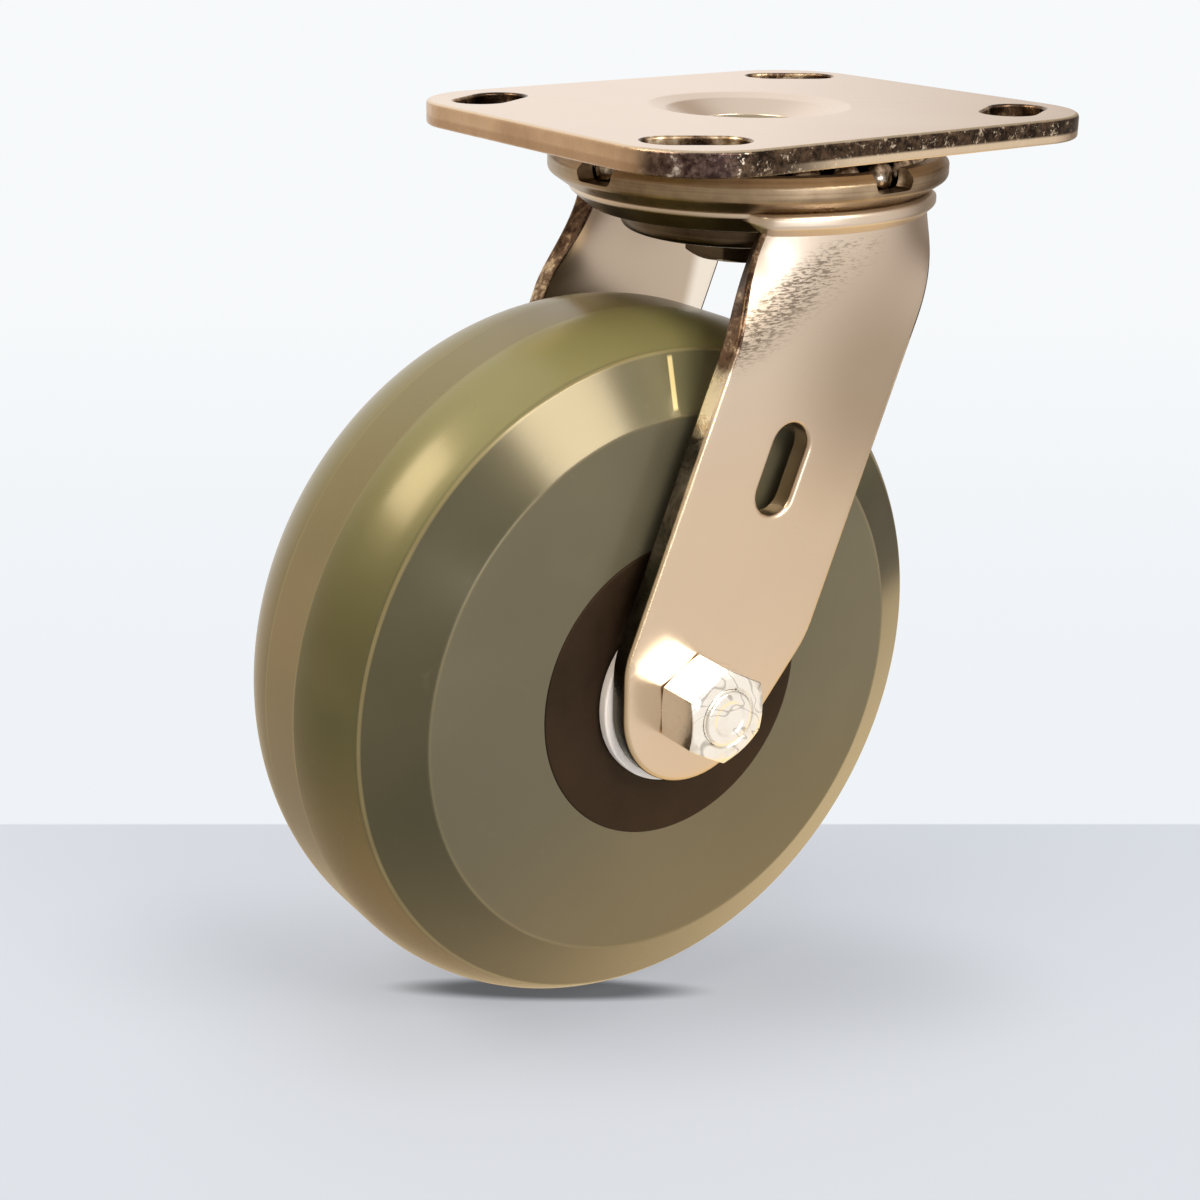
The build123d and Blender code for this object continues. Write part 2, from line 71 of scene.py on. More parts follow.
LEG_HALF_WIDTH = 22.75
LEG_FORWARD = 1.9
LEG_END_RADIUS = 17.9
LEG_END_TAPER = radians(40.6)
NOTCH_TURN = 4.2
HUB_HALF = 28.5
TYRE_HALF = 28.2
HUB_RADIUS = 32.3
HUB_KEY = (36.8, 9.0)
LINER_BORE = 15.875
LINER_RADIUS = 17.475
ROLLER_PITCH = 12.7
ROLLERS = 9

FINE_SEGMENTS = 256
RING_SEGMENTS = 192
SMALL_SEGMENTS = 96

# Edges that turn by more than this stay sharp, in degrees
CORNER = 32


# Outlines

def arc(centre, radius, start, end, steps):
    """Points along an arc."""
    out = []
    for i in range(steps + 1):
        a = start + (end - start) * i / steps
        out.append((centre[0] + radius * cos(a), centre[1] + radius * sin(a)))
    return out


def softened(points, radii, closed=True, steps=4):
    """The outline with each corner turned to an arc of its own radius; 0 keeps the corner."""
    n = len(points)
    if not hasattr(radii, "__len__"):
        radii = [radii] * n
    out = []
    for i, p in enumerate(points):
        r = radii[i]
        if r <= 0 or (not closed and i in (0, n - 1)):
            out.append(p)
            continue
        a, b = points[i - 1], points[(i + 1) % n]
        u = Vector((a[0] - p[0], a[1] - p[1]))
        v = Vector((b[0] - p[0], b[1] - p[1]))
        lu, lv = u.length, v.length
        u.normalize()
        v.normalize()
        half = u.angle(v) / 2
        # no arc where the outline runs nearly straight on or nearly back
        if half > radians(88) or half < radians(1):
            out.append(p)
            continue
        reach = min(r / tan(half), lu * 0.49, lv * 0.49)
        r = reach * tan(half)
        middle = (u + v).normalized() * (r / sin(half))
        c = Vector(p) + middle
        s = Vector(p) + u * reach - c
        e = Vector(p) + v * reach - c
        turn = s.angle_signed(e)
        base = atan2(s.y, s.x)
        for k in range(steps + 1):
            t = base - turn * k / steps
            out.append((c.x + r * cos(t), c.y + r * sin(t)))
    return out


def spread(points, longest, closed=True):
    """The outline with its long runs divided."""
    out = []
    n = len(points)
    for i in range(n if closed else n - 1):
        a, b = points[i], points[(i + 1) % n]
        parts = max(1, int(hypot(b[0] - a[0], b[1] - a[1]) / longest + 0.999))
        for k in range(parts):
            t = k / parts
            out.append((a[0] + (b[0] - a[0]) * t, a[1] + (b[1] - a[1]) * t))
    if not closed:
        out.append(points[-1])
    return out


def inset(points, distance):
    """A smooth closed outline, counterclockwise, moved inwards by a distance."""
    out = []
    n = len(points)
    for i in range(n):
        a, p, b = Vector(points[i - 1]), Vector(points[i]), Vector(points[(i + 1) % n])
        u = (p - a).normalized()
        v = (b - p).normalized()
        left = Vector((-u.y - v.y, u.x + v.x))
        if left.length < 1e-9:
            left = Vector((-v.y, v.x)) * 2
        left.normalize()
        stretch = max(0.5, left.dot(Vector((-v.y, v.x))))
        q = p + left * (distance / stretch)
        out.append((q.x, q.y))
    return out


def inside(point, loop):
    """Whether a point lies in a closed outline."""
    x, y = point
    hit = False
    j = len(loop) - 1
    for i in range(len(loop)):
        xi, yi = loop[i]
        xj, yj = loop[j]
        if (yi > y) != (yj > y) and x < (xj - xi) * (y - yi) / (yj - yi) + xi:
            hit = not hit
        j = i
    return hit


def fill(outer, holes, spacing=None):
    """Triangles between an outline and its holes, with inner points on a grid where asked."""
    loops = [outer] + list(holes)
    points, edges = [], []
    for loop in loops:
        first = len(points)
        n = len(loop)
        points += [Vector(p) for p in loop]
        edges += [(first + i, first + (i + 1) % n) for i in range(n)]
    if spacing:
        rim = list(points)
        clear, row_step = spacing * 0.6, spacing * 0.866
        xs = [p.x for p in rim]
        ys = [p.y for p in rim]
        y = min(ys)
        row = 0
        while y < max(ys):
            x = min(xs) + (row % 2) * spacing / 2
            while x < max(xs):
                near = min((p.x - x) ** 2 + (p.y - y) ** 2 for p in rim)
                if near > clear ** 2 and inside((x, y), outer):
                    if not any(inside((x, y), h) for h in holes):
                        points.append(Vector((x, y)))
                x += spacing
            y += row_step
            row += 1
    coords, _, faces, *_ = delaunay_2d_cdt(points, edges, [], 0, 1e-6)
    kept = []
    for f in faces:
        c = (sum(coords[i].x for i in f) / len(f), sum(coords[i].y for i in f) / len(f))
        if inside(c, outer) and not any(inside(c, h) for h in holes):
            kept.append(tuple(f))
    return [(p.x, p.y) for p in coords], kept


# Meshes

class Build:
    """Collects points and faces in millimetres for one piece."""

    def __init__(self):
        self.points = []
        self.faces = []
        self.marks = []

    def add(self, points, faces, mark=0):
        first = len(self.points)
        self.points += [tuple(p) for p in points]
        self.faces += [tuple(first + i for i in f) for f in faces]
        self.marks += [mark] * len(faces)

    def rings(self, rings, closed_across=False, mark=0):
        """Skins a list of closed rings that have the same number of points."""
        n, total = len(rings[0]), len(rings)
        points = [p for ring in rings for p in ring]
        faces = []
        for j in range(total if closed_across else total - 1):
            k = (j + 1) % total
            for i in range(n):
                m = (i + 1) % n
                faces.append((j * n + i, j * n + m, k * n + m, k * n + i))
        self.add(points, faces, mark)

    def shifted(self, move):
        """All points passed through a function."""
        self.points = [tuple(move(p)) for p in self.points]
        return self


def turns(count):
    """The angles that divide a full turn."""
    return [2 * pi * i / count for i in range(count)]


def upright(r, a, z):
    """A turned point about the swivel axis."""
    return (r * cos(a), r * sin(a), z)


def axled(r, a, s):
    """A turned point about the wheel's axle."""
    return (-LEAD + r * cos(a), s, AXLE_LEVEL + r * sin(a))


def turned(profile, segments, place=upright, closed=True, build=None):
    """A body of revolution from (radius, level) points."""
    build = build or Build()
    build.rings([[place(r, a, z) for a in turns(segments)] for r, z in profile], closed_across=closed)
    return build


def placed(name, data):
    """A new object in the scene with this mesh, lamp or camera."""
    piece = bpy.data.objects.new(name, data)
    bpy.context.scene.collection.objects.link(piece)
    return piece


def finish_mesh(name, build, sharp=CORNER, merge=1e-3):
    """The piece as a clean object: welded, facing outwards, smooth but for its real corners."""
    bm = bmesh.new()
    made = [bm.verts.new((x * MM, y * MM, z * MM)) for x, y, z in build.points]
    for f, mark in zip(build.faces, build.marks):
        if len(set(f)) < 3:
            continue
        try:
            face = bm.faces.new([made[i] for i in f])
        except ValueError:
            continue
        face.material_index = mark
    bmesh.ops.remove_doubles(bm, verts=bm.verts, dist=merge * MM)
    bmesh.ops.dissolve_degenerate(bm, edges=bm.edges, dist=1e-7)
    loose = [v for v in bm.verts if not v.link_faces]
    bmesh.ops.delete(bm, geom=loose, context="VERTS")
    bmesh.ops.recalc_face_normals(bm, faces=bm.faces)
    mark_corners(bm, sharp)
    mesh = bpy.data.meshes.new(name)
    bm.to_mesh(mesh)
    bm.free()
    return placed(name, mesh)


def mark_corners(bm, sharp):
    """Smooth faces, and sharp edges where they turn by more than an angle in degrees."""
    for f in bm.faces:
        f.smooth = True
    for e in bm.edges:
        e.smooth = len(e.link_faces) != 2 or e.calc_face_angle(0) < radians(sharp)


def weighted(piece):
    """Shades broad faces flat up to their rounded edges."""
    m = piece.modifiers.new("shade", "WEIGHTED_NORMAL")
    m.keep_sharp = True
    m.weight = 80


def joined(name, first, others):
    """Solid union of several objects, as one clean piece."""
    for other in others:
        m = first.modifiers.new("join", "BOOLEAN")
        m.operation = "UNION"
        m.solver = "EXACT"
        m.object = other
    depsgraph = bpy.context.evaluated_depsgraph_get()
    mesh = bpy.data.meshes.new_from_object(first.evaluated_get(depsgraph))
    for old in [first] + list(others):
        bpy.data.objects.remove(old)
    bm = bmesh.new()
    bm.from_mesh(mesh)
    bmesh.ops.remove_doubles(bm, verts=bm.verts, dist=2e-3 * MM)
    bmesh.ops.dissolve_degenerate(bm, edges=bm.edges, dist=1e-7)
    mark_corners(bm, CORNER)
    bm.to_mesh(mesh)
    bm.free()
    return placed(name, mesh)


# Materials

class Paint:
    """A material whose colour, roughness and bump come from nodes in the piece's own metres."""

    def __init__(self, name, metallic=0.0, **plain):
        self.material = bpy.data.materials.new(name)
        self.material.use_nodes = True
        self.tree = self.material.node_tree
        self.shader = self.tree.nodes["Principled BSDF"]
        self.shader.inputs["Metallic"].default_value = metallic
        self.fill(self.shader, plain)
        self.place = self.node("TexCoord").outputs["Object"]

    def node(self, kind, **values):
        """A new node, with sockets set or linked by name."""
        n = self.tree.nodes.new("ShaderNode" + kind)
        self.fill(n, values)
        return n

    def fill(self, node, values):
        for key, value in values.items():
            self.link(value, node.inputs[key.replace("_", " ")])

    def link(self, out, into):
        if hasattr(out, "links"):
            self.tree.links.new(out, into)
        else:
            into.default_value = out

    def split(self, place):
        n = self.node("SeparateXYZ")
        self.link(place, n.inputs[0])
        return n.outputs[0], n.outputs[1], n.outputs[2]

    def axes(self):
        return self.split(self.place)

    def stretched(self, x, y, z, turn=0.0):
        """The place turned about Y and with each axis multiplied, for streaks."""
        return self.node(
            "Mapping", Vector=self.place, Rotation=(0, turn, 0), Scale=(x, y, z)
        ).outputs["Vector"]

    def noise(self, scale, detail=3.0, roughness=0.55, distortion=0.0, place=None):
        return self.node(
            "TexNoise", Vector=place or self.place, Scale=scale, Detail=detail,
            Roughness=roughness, Distortion=distortion,
        ).outputs["Fac"]

    def ramp(self, value, *stops, ease=False):
        """A colour ramp; each stop is (position, grey or colour)."""
        n = self.node("ValToRGB", Fac=value)
        n.color_ramp.interpolation = "EASE" if ease else "LINEAR"
        marks = n.color_ramp.elements
        while len(marks) < len(stops):
            marks.new(0.5)
        for mark, (position, colour) in zip(marks, stops):
            mark.position = position
            if not hasattr(colour, "__len__"):
                colour = (colour,) * 3
            mark.color = (*colour, 1.0)
        return n.outputs["Color"]

    def math(self, operation, a, b=0.0):
        n = self.node("Math")
        n.operation = operation
        self.link(a, n.inputs[0])
        self.link(b, n.inputs[1])
        return n.outputs[0]

    def times(self, first, *others):
        for other in others:
            first = self.math("MULTIPLY", first, other)
        return first

    def plus(self, a, b):
        return self.math("ADD", a, b)

    def less(self, a, b):
        return self.math("SUBTRACT", a, b)

    def rest(self, share, amount):
        """What is left of 1 where a share takes its amount."""
        return self.less(1.0, self.times(share, amount))

    def span(self, value, low, high, out_low=0.0, out_high=1.0, smooth=True):
        """0 to 1 as a value goes from low to high."""
        n = self.node(
            "MapRange", Value=value, From_Min=low, From_Max=high, To_Min=out_low, To_Max=out_high
        )
        n.interpolation_type = "SMOOTHSTEP" if smooth else "LINEAR"
        return n.outputs["Result"]

    def band(self, value, start, full, still_full, end):
        """1 within a band of a value, falling to 0 on both sides."""
        return self.times(self.span(value, start, full), self.span(value, end, still_full))

    def mix(self, share, a, b):
        n = self.node("Mix")
        n.data_type = "RGBA"
        self.link(share, n.inputs[0])
        for socket, value in ((n.inputs[6], a), (n.inputs[7], b)):
            if isinstance(value, tuple):
                value = (*value, 1.0)
            self.link(value, socket)
        return n.outputs[2]

    def over(self, base, tone, *shares):
        """A tone laid over the base by the product of its shares."""
        return self.mix(self.times(*shares), base, tone)

    def dot(self, a, b):
        """The dot product of two flat places or directions."""
        return self.plus(self.times(a[0], b[0]), self.times(a[1], b[1]))

    def cross(self, a, b):
        return self.less(self.times(a[0], b[1]), self.times(a[1], b[0]))

    def emitter(self, kind, colour):
        return self.node(kind, Color=colour).outputs[0]

    def blend(self, share, a, b):
        """Two shaders mixed."""
        n = self.node("MixShader")
        for value, into in zip((share, a, b), n.inputs):
            self.link(value, into)
        return n.outputs[0]

    def far_from(self, x, y, z, weights=(1, 1, 1)):
        """Distance from a point, or from a line where a weight is 0."""
        out = self.place
        for operation, value in (("SUBTRACT", (x, y, z)), ("MULTIPLY", weights), ("LENGTH", None)):
            n = self.node("VectorMath")
            n.operation = operation
            self.link(out, n.inputs[0])
            if value:
                n.inputs[1].default_value = value
            out = n.outputs["Value" if operation == "LENGTH" else 0]
        return out

    def from_axle(self):
        return self.far_from(-LEAD * MM, 0, AXLE_LEVEL * MM, (1, 0, 1))

    def finish(self, colour, rough, *bumps):
        """The material with its colour, roughness and bumps of (height, strength, distance)."""
        self.fill(self.shader, {"Base Color": colour, "Roughness": rough})
        normal = None
        for height, strength, distance in bumps:
            n = self.node("Bump", Strength=strength, Distance=distance, Height=height)
            if normal:
                self.link(normal, n.inputs["Normal"])
            normal = n.outputs["Normal"]
            self.link(normal, self.shader.inputs["Normal"])
        return self.material


def steel_sheet(name, low, middle, high, rough):
    """Satin stainless sheet, its warm tone a painted tint for warm reflections; hatched where the press drew
    it round the crown, with painted shade and painted highlights on the legs.
    """
    p = Paint(name, metallic=1.0)
    x, y, z = p.axes()
    cloudy = p.noise(14, 3, 0.5)
    grain = p.noise(1500, 2, 0.6)
    # the drawn zone runs aslant over the near leg's bend, from its rear edge up to the crown
    aslant = p.less(z, p.times(x, 0.62))
    zone = p.times(
        p.band(aslant, -0.0340, -0.0235, -0.0198, -0.0138),
        p.band(z, -0.050, -0.042, -0.0225, -0.0212),
        p.span(x, 0.012, -0.004), p.span(y, 0.0, -0.02),
    )
    deep = p.times(zone, p.span(x, 0.000, -0.016))
    # painted shade: a dark patch on the near leg's outer face, towards its front and foot
    shaded_patch = p.span(p.far_from(0.007, -0.036, -0.053, (0.85, 1, 0.8)), 0.028, 0.004)
    under_crown = p.times(
        p.band(z, -0.0223, -0.0217, -0.0178, -0.0168),
        p.span(p.far_from(0, 0, 0, (1, 1, 0)), 0.0383, 0.0377),
    )
    hatch = p.noise(1700, 4, 0.70, 0.20, p.stretched(0.30, 1.0, 1.7, radians(34)))
    strokes = p.ramp(p.plus(hatch, p.times(deep, 0.08)), (0.53, 0.0), (0.62, 1.0))
    base = p.ramp(cloudy, (0.32, low), (0.52, middle), (0.72, high), ease=True)
    # painted reflection: the upper legs and crown are greyer
    base = p.over(base, (0.70, 0.620, 0.545), p.band(z, -0.078, -0.040, -0.020, -0.010), 0.75)
    base = p.over(base, (0.34, 0.27, 0.20), shaded_patch, 0.72)
    base = p.over(base, (0.36, 0.29, 0.22), deep, 0.22)
    # painted shade darkens the far leg, and a painted highlight runs as a bright strip down its front edge
    below_crown = p.span(z, -0.019, -0.024)
    base = p.over(base, (0.30, 0.25, 0.20), p.span(y, 0.0, 0.02), below_crown, 0.28)
    strip = p.span(p.less(x, p.times(z, 0.25)), 0.0195, 0.0235)
    # painted highlight: the bright strip down the far leg's front edge
    base = p.over(base, (1.0, 0.97, 0.92), p.span(y, 0.02, 0.028), below_crown, strip)
    # painted shade: a dark band on the crown's rim and shoulders under the race cup
    base = p.over(base, (0.12, 0.085, 0.048), under_crown, 0.90)
    base = p.over(base, (0.10, 0.075, 0.050), zone, strokes, p.plus(p.times(deep, 0.35), 0.45))
    gloss = p.plus(p.span(cloudy, 0.3, 0.75, rough, rough + 0.06), p.times(zone, 0.08))
    return p.finish(base, gloss, (p.times(hatch, zone), 0.26, 0.0002), (grain, 0.06, 0.00005))


def steel_sheared():
    """The cut edge of the sheet: burnished along its run, gold to nearly black."""
    p = Paint("stainless_cut_edge", metallic=1.0)
    patches = p.noise(95, 4, 0.62, 0.8)
    fine = p.noise(1100, 4, 0.7)
    tone = p.ramp(
        p.plus(p.times(patches, 0.8), p.times(fine, 0.2)),
        (0.40, (0.050, 0.030, 0.020)), (0.50, (0.150, 0.095, 0.060)),
        (0.56, (0.480, 0.340, 0.210)), (0.64, (0.900, 0.790, 0.620)),
    )
    return p.finish(tone, p.span(patches, 0.3, 0.7, 0.20, 0.38), (fine, 0.35, 0.0002))


def steel_leg_edge():
    """The legs' cut edge: brown at the bend, then a painted highlight in one bright run, then painted shade,
    grey and then dark, down to the foot.
    """
    p = Paint("leg_cut_edge", metallic=1.0)
    _, y, z = p.axes()
    patches = p.noise(120, 4, 0.62, 0.8)
    fine = p.noise(900, 4, 0.7)
    tone = p.plus(p.times(patches, 0.7), p.times(fine, 0.3))
    brown = p.ramp(
        tone,
        (0.42, (0.060, 0.036, 0.026)), (0.54, (0.200, 0.130, 0.090)), (0.64, (0.800, 0.660, 0.480)),
    )
    light = p.ramp(tone, (0.36, (0.700, 0.560, 0.420)), (0.48, (1.0, 0.930, 0.800)))
    grey = p.ramp(tone, (0.42, (0.110, 0.095, 0.085)), (0.60, (0.330, 0.290, 0.250)))
    plain = p.ramp(tone, (0.40, (0.085, 0.080, 0.060)), (0.62, (0.125, 0.115, 0.085)))
    wander = p.plus(z, p.times(p.less(patches, 0.5), 0.012))
    # painted highlight and painted shade down the edge: a bright run, then grey, then dark
    shade = p.over(brown, light, p.span(wander, -0.0450, -0.0490))
    shade = p.over(shade, grey, p.span(wander, -0.0585, -0.0615))
    shade = p.over(shade, plain, p.span(wander, -0.0740, -0.0860))
    # a painted highlight: the outer corner shows a thin golden rim
    shade = p.over(shade, (0.80, 0.64, 0.45), p.span(y, -0.0349, -0.0353), p.span(z, -0.042, -0.050), 0.8)
    shade = p.over(shade, brown, p.span(y, 0.0, 0.01))
    return p.finish(shade, p.span(patches, 0.3, 0.7, 0.22, 0.38), (fine, 0.25, 0.0002))


def steel_plate_edge():
    """The plate's cut edge, with painted reflections: satin tan at the trailing end and darker low down, a
    dark brown patch at one corner, dark down the side with painted glints.
    """
    p = Paint("plate_cut_edge", metallic=1.0)
    x, y, z = p.axes()
    fine = p.noise(520, 5, 0.7, 0.2)
    soft = p.noise(60, 3, 0.5)
    # painted glints: bright specks for the dark side of the edge
    glints = p.ramp(p.noise(640, 5, 0.8, 0.2), (0.57, 0.0), (0.64, 1.0))
    tan_steel = p.ramp(soft, (0.35, (0.50, 0.34, 0.23)), (0.65, (0.68, 0.50, 0.36)))
    tan_steel = p.over(tan_steel, (0.40, 0.26, 0.16), p.span(z, -0.0026, -0.0034), 0.55)
    # painted reflection: the side of the edge towards -Y is dark
    dark = p.ramp(fine, (0.40, (0.020, 0.014, 0.011)), (0.62, (0.110, 0.072, 0.048)))
    dark = p.over(dark, (0.80, 0.68, 0.54), glints, 0.8)
    # painted reflection: a cream band low along the dark side
    dark = p.over(dark, (0.82, 0.68, 0.52), p.span(z, -0.0030, -0.0036), p.span(x, -0.036, -0.014), 0.9)
    shade = p.over(tan_steel, dark, p.span(p.plus(y, p.times(x, -0.35)), -0.020, -0.024))
    # painted reflection: a dark brown patch at one corner
    dark_corner_reflection = p.span(p.far_from(-0.0515, -0.0445, 0.0, (1, 1, 0)), 0.011, 0.006)
    brown = p.ramp(
        p.noise(260, 4, 0.7),
        (0.42, (0.045, 0.026, 0.026)), (0.58, (0.200, 0.140, 0.125)), (0.66, (0.85, 0.80, 0.78)),
    )
    shade = p.over(shade, brown, dark_corner_reflection, 0.9)
    shade = p.over(shade, (0.86, 0.72, 0.58), p.span(x, 0.050, 0.0545))
    # a painted highlight: a bright line along the rolled top rim
    shade = p.over(shade, (0.88, 0.72, 0.52), p.span(z, -0.00045, -0.00015), 0.8)
    return p.finish(shade, p.span(fine, 0.35, 0.7, 0.20, 0.36), (fine, 0.25, 0.0002))


def race_steel(name, light, dark, rough):
    """Turned and pressed race rings: dull, with faint turning marks and oily patches."""
    p = Paint(name, metallic=1.0)
    turning = p.noise(260, 3, 0.5, 0.0, p.stretched(0.05, 0.05, 6))
    patches = p.noise(70, 4, 0.65)
    tone = p.ramp(p.plus(p.times(turning, 0.35), p.times(patches, 0.65)), (0.36, dark), (0.62, light))
    return p.finish(tone, p.span(patches, 0.3, 0.7, rough, rough + 0.14), (turning, 0.12, 0.0001))


def ball_steel():
    """Polished bearing balls with a thin coat of grease and painted shade: each ball is mostly dark, as in
    the shade inside the cup.
    """
    p = Paint("ball_steel", metallic=1.0)
    grease_and_shade = p.noise(420, 3, 0.6)
    tone = p.ramp(grease_and_shade, (0.38, (0.10, 0.08, 0.06)), (0.52, (0.30, 0.25, 0.20)), (0.66, (0.74, 0.70, 0.65)))
    return p.finish(tone, p.span(grease_and_shade, 0.3, 0.7, 0.07, 0.22))


def fastener_steel():
    """Bright bolt and nut: fine turning on the ends, smears and burnished corners."""
    p = Paint("fastener_steel", metallic=1.0)
    circles = p.noise(2600, 2, 0.5, 0.0, p.stretched(0.35, 0.35, 0.35))
    smudge = p.noise(190, 4, 0.65)
    base = p.ramp(smudge, (0.34, (0.95, 0.93, 0.88)), (0.50, (1.0, 0.99, 0.96)), (0.7, (1.0, 1.0, 0.98)))
    lines = p.ramp(p.noise(70, 1, 0.5, 1.6), (0.500, 0.0), (0.515, 1.0), (0.530, 0.0))
    smear = p.ramp(p.noise(120, 3, 0.6, 0.6), (0.60, 0.0), (0.70, 0.7))
    near_end = p.span(p.axes()[1], -0.0440, -0.0455)
    base = p.over(base, (0.16, 0.15, 0.13), p.math("MAXIMUM", lines, smear), p.times(near_end, 0.55))
    base = p.over(base, (0.95, 0.93, 0.88), p.span(p.from_axle(), 0.0093, 0.0103), 0.5)
    return p.finish(base, p.span(smudge, 0.3, 0.7, 0.16, 0.30), (circles, 0.15, 0.00008))


def polyurethane():
    """Solid olive polyurethane: glossy tread and bevel, duller moulded sides; tones painted lighter and
    warmer for light and reflections, and thin golden lines painted as highlights along the mould's edges.
    """
    p = Paint(
        "polyurethane", Specular_IOR_Level=0.75, Coat_Weight=0.20, Coat_Roughness=0.14,
        Specular_Tint=(1.0, 0.86, 0.60, 1.0),
    )
    x, y, z = p.axes()
    across = p.math("ABSOLUTE", y)
    far = p.from_axle()
    clouds = p.noise(16, 3, 0.5, 0.3)
    fine = p.noise(300, 3, 0.6)

    def cloudy(low, high):
        return p.ramp(clouds, (0.30, low), (0.70, high), ease=True)

    tread = p.ramp(
        clouds, (0.30, (0.050, 0.048, 0.016)), (0.55, (0.064, 0.059, 0.020)), (0.75, (0.085, 0.074, 0.028)),
        ease=True,
    )
    # painted light: towards the top the tread is lighter and the band more olive
    tread = p.over(tread, (0.205, 0.186, 0.078), p.span(z, -0.095, -0.045), 0.9)
    band = cloudy((0.125, 0.088, 0.036), (0.165, 0.118, 0.052))
    band = p.over(band, (0.140, 0.118, 0.042), p.span(z, -0.100, -0.055), 0.8)
    bevel = cloudy((0.035, 0.036, 0.019), (0.054, 0.048, 0.026))
    face = cloudy((0.084, 0.076, 0.047), (0.116, 0.101, 0.062))
    # painted reflection: the lower bevel and face are warmer and lighter
    foot = p.span(z, -0.125, -0.175)
    bevel = p.over(bevel, (0.135, 0.100, 0.048), foot, 0.8)
    face = p.over(face, (0.140, 0.108, 0.060), foot, 0.7)
    # painted light: the bevel is lighter in the gap beside the near leg, where the leg's shade falls
    gap = (p.span(x, -0.052, -0.040), p.span(z, -0.085, -0.060), p.span(y, -0.018, -0.022))
    bevel = p.over(bevel, (0.155, 0.142, 0.074), *gap, 0.85)
    on_bevel = p.span(far, 0.0712, 0.0700)
    on_face = p.times(p.span(far, 0.0592, 0.0584), p.span(across, 0.0268, 0.0278))
    on_band = p.span(across, 0.0066, 0.0054)
    # painted reflection: the lower rear tread is tan
    tread = p.over(tread, (0.250, 0.155, 0.058), p.span(z, -0.105, -0.160), p.span(x, -0.040, -0.080), 0.85)
    # painted reflection: the band's tan spreads over the far half of the tread
    body = p.over(tread, band, p.band(y, 0.0052, 0.0068, 0.018, 0.030), 0.7)
    for tone, share in ((band, on_band), (bevel, on_bevel), (face, on_face)):
        body = p.over(body, tone, share)
    # painted highlights: thin light lines along the edges where the mould's flats meet
    edge = p.times(p.band(across, 0.0213, 0.0216, 0.0218, 0.0220), 0.26)
    rim = p.times(p.band(far, 0.0580, 0.0584, 0.0586, 0.0589), 0.10)
    seam = p.times(p.band(across, 0.0056, 0.0059, 0.0061, 0.0064), p.span(z, -0.055, -0.095, 0.04, 0.22))
    lines = p.math("MAXIMUM", p.math("MAXIMUM", edge, rim), seam)
    body = p.over(body, (0.58, 0.45, 0.20), lines, p.span(p.noise(24, 2, 0.5), 0.35, 0.6, 0.5, 1.0))
    # one short parting mark across the bevel, where the mould's halves met, painted as a bright golden
    # highlight
    slant = p.math("ABSOLUTE", p.plus(p.less(x, p.times(y, 0.40)), 0.0278))
    body = p.over(
        body, (0.86, 0.70, 0.34), p.span(slant, 0.00075, 0.00040), p.span(z, -0.08, -0.07),
        p.band(y, -0.0277, -0.0273, -0.0224, -0.0220), 0.92,
    )
    scuffs = p.ramp(p.noise(120, 5, 0.7, 0.6), (0.62, 0.0), (0.70, 1.0))
    body = p.over(body, (0.32, 0.26, 0.14), scuffs, 0.05)
    gloss = p.plus(p.span(clouds, 0.3, 0.7, 0.18, 0.24), p.times(on_face, 0.14))
    gloss = p.plus(gloss, p.times(p.less(1.0, on_bevel), 0.08))
    return p.finish(body, gloss, (fine, 0.03, 0.0002))


def moulded(name, level, scale, detail, tones, rough, grain, **plain):
    """A plain moulded material: soft clouds of tone and a fine grain."""
    p = Paint(name, Specular_IOR_Level=level, **plain)
    clouds = p.noise(scale, detail, 0.6)
    tone = p.ramp(clouds, (0.30, tones[0]), (0.70, tones[1]))
    return p.finish(tone, p.span(clouds, 0.3, 0.7, *rough), (p.noise(grain[0], 2, 0.6), *grain[1:]))


def washer_white():
    """White low-friction washer, greyed near its edge."""
    p = Paint("washer_white", Specular_IOR_Level=0.45)
    stain = p.noise(120, 4, 0.65)
    base = p.ramp(stain, (0.35, (0.97, 0.86, 0.77)), (0.60, (1.0, 0.91, 0.83)))
    base = p.over(base, (0.62, 0.58, 0.56), p.span(p.from_axle(), 0.0180, 0.0196), 0.25)
    return p.finish(base, p.span(stain, 0.3, 0.7, 0.38, 0.52), (stain, 0.06, 0.0002))


PLATE_STEEL = steel_sheet("plate_steel", (0.82, 0.685, 0.575), (0.85, 0.72, 0.61), (0.88, 0.765, 0.66), 0.24)
FORK_STEEL = steel_sheet("fork_steel", (0.69, 0.555, 0.425), (0.73, 0.595, 0.460), (0.77, 0.640, 0.505), 0.26)
CUT_EDGE = steel_sheared()
LEG_EDGE = steel_leg_edge()
PLATE_EDGE = steel_plate_edge()
CUP_STEEL = race_steel("race_cup_steel", (0.425, 0.33, 0.225), (0.20, 0.14, 0.09), 0.24)
RACE_STEEL = race_steel("race_steel", (0.50, 0.42, 0.34), (0.16, 0.12, 0.09), 0.24)
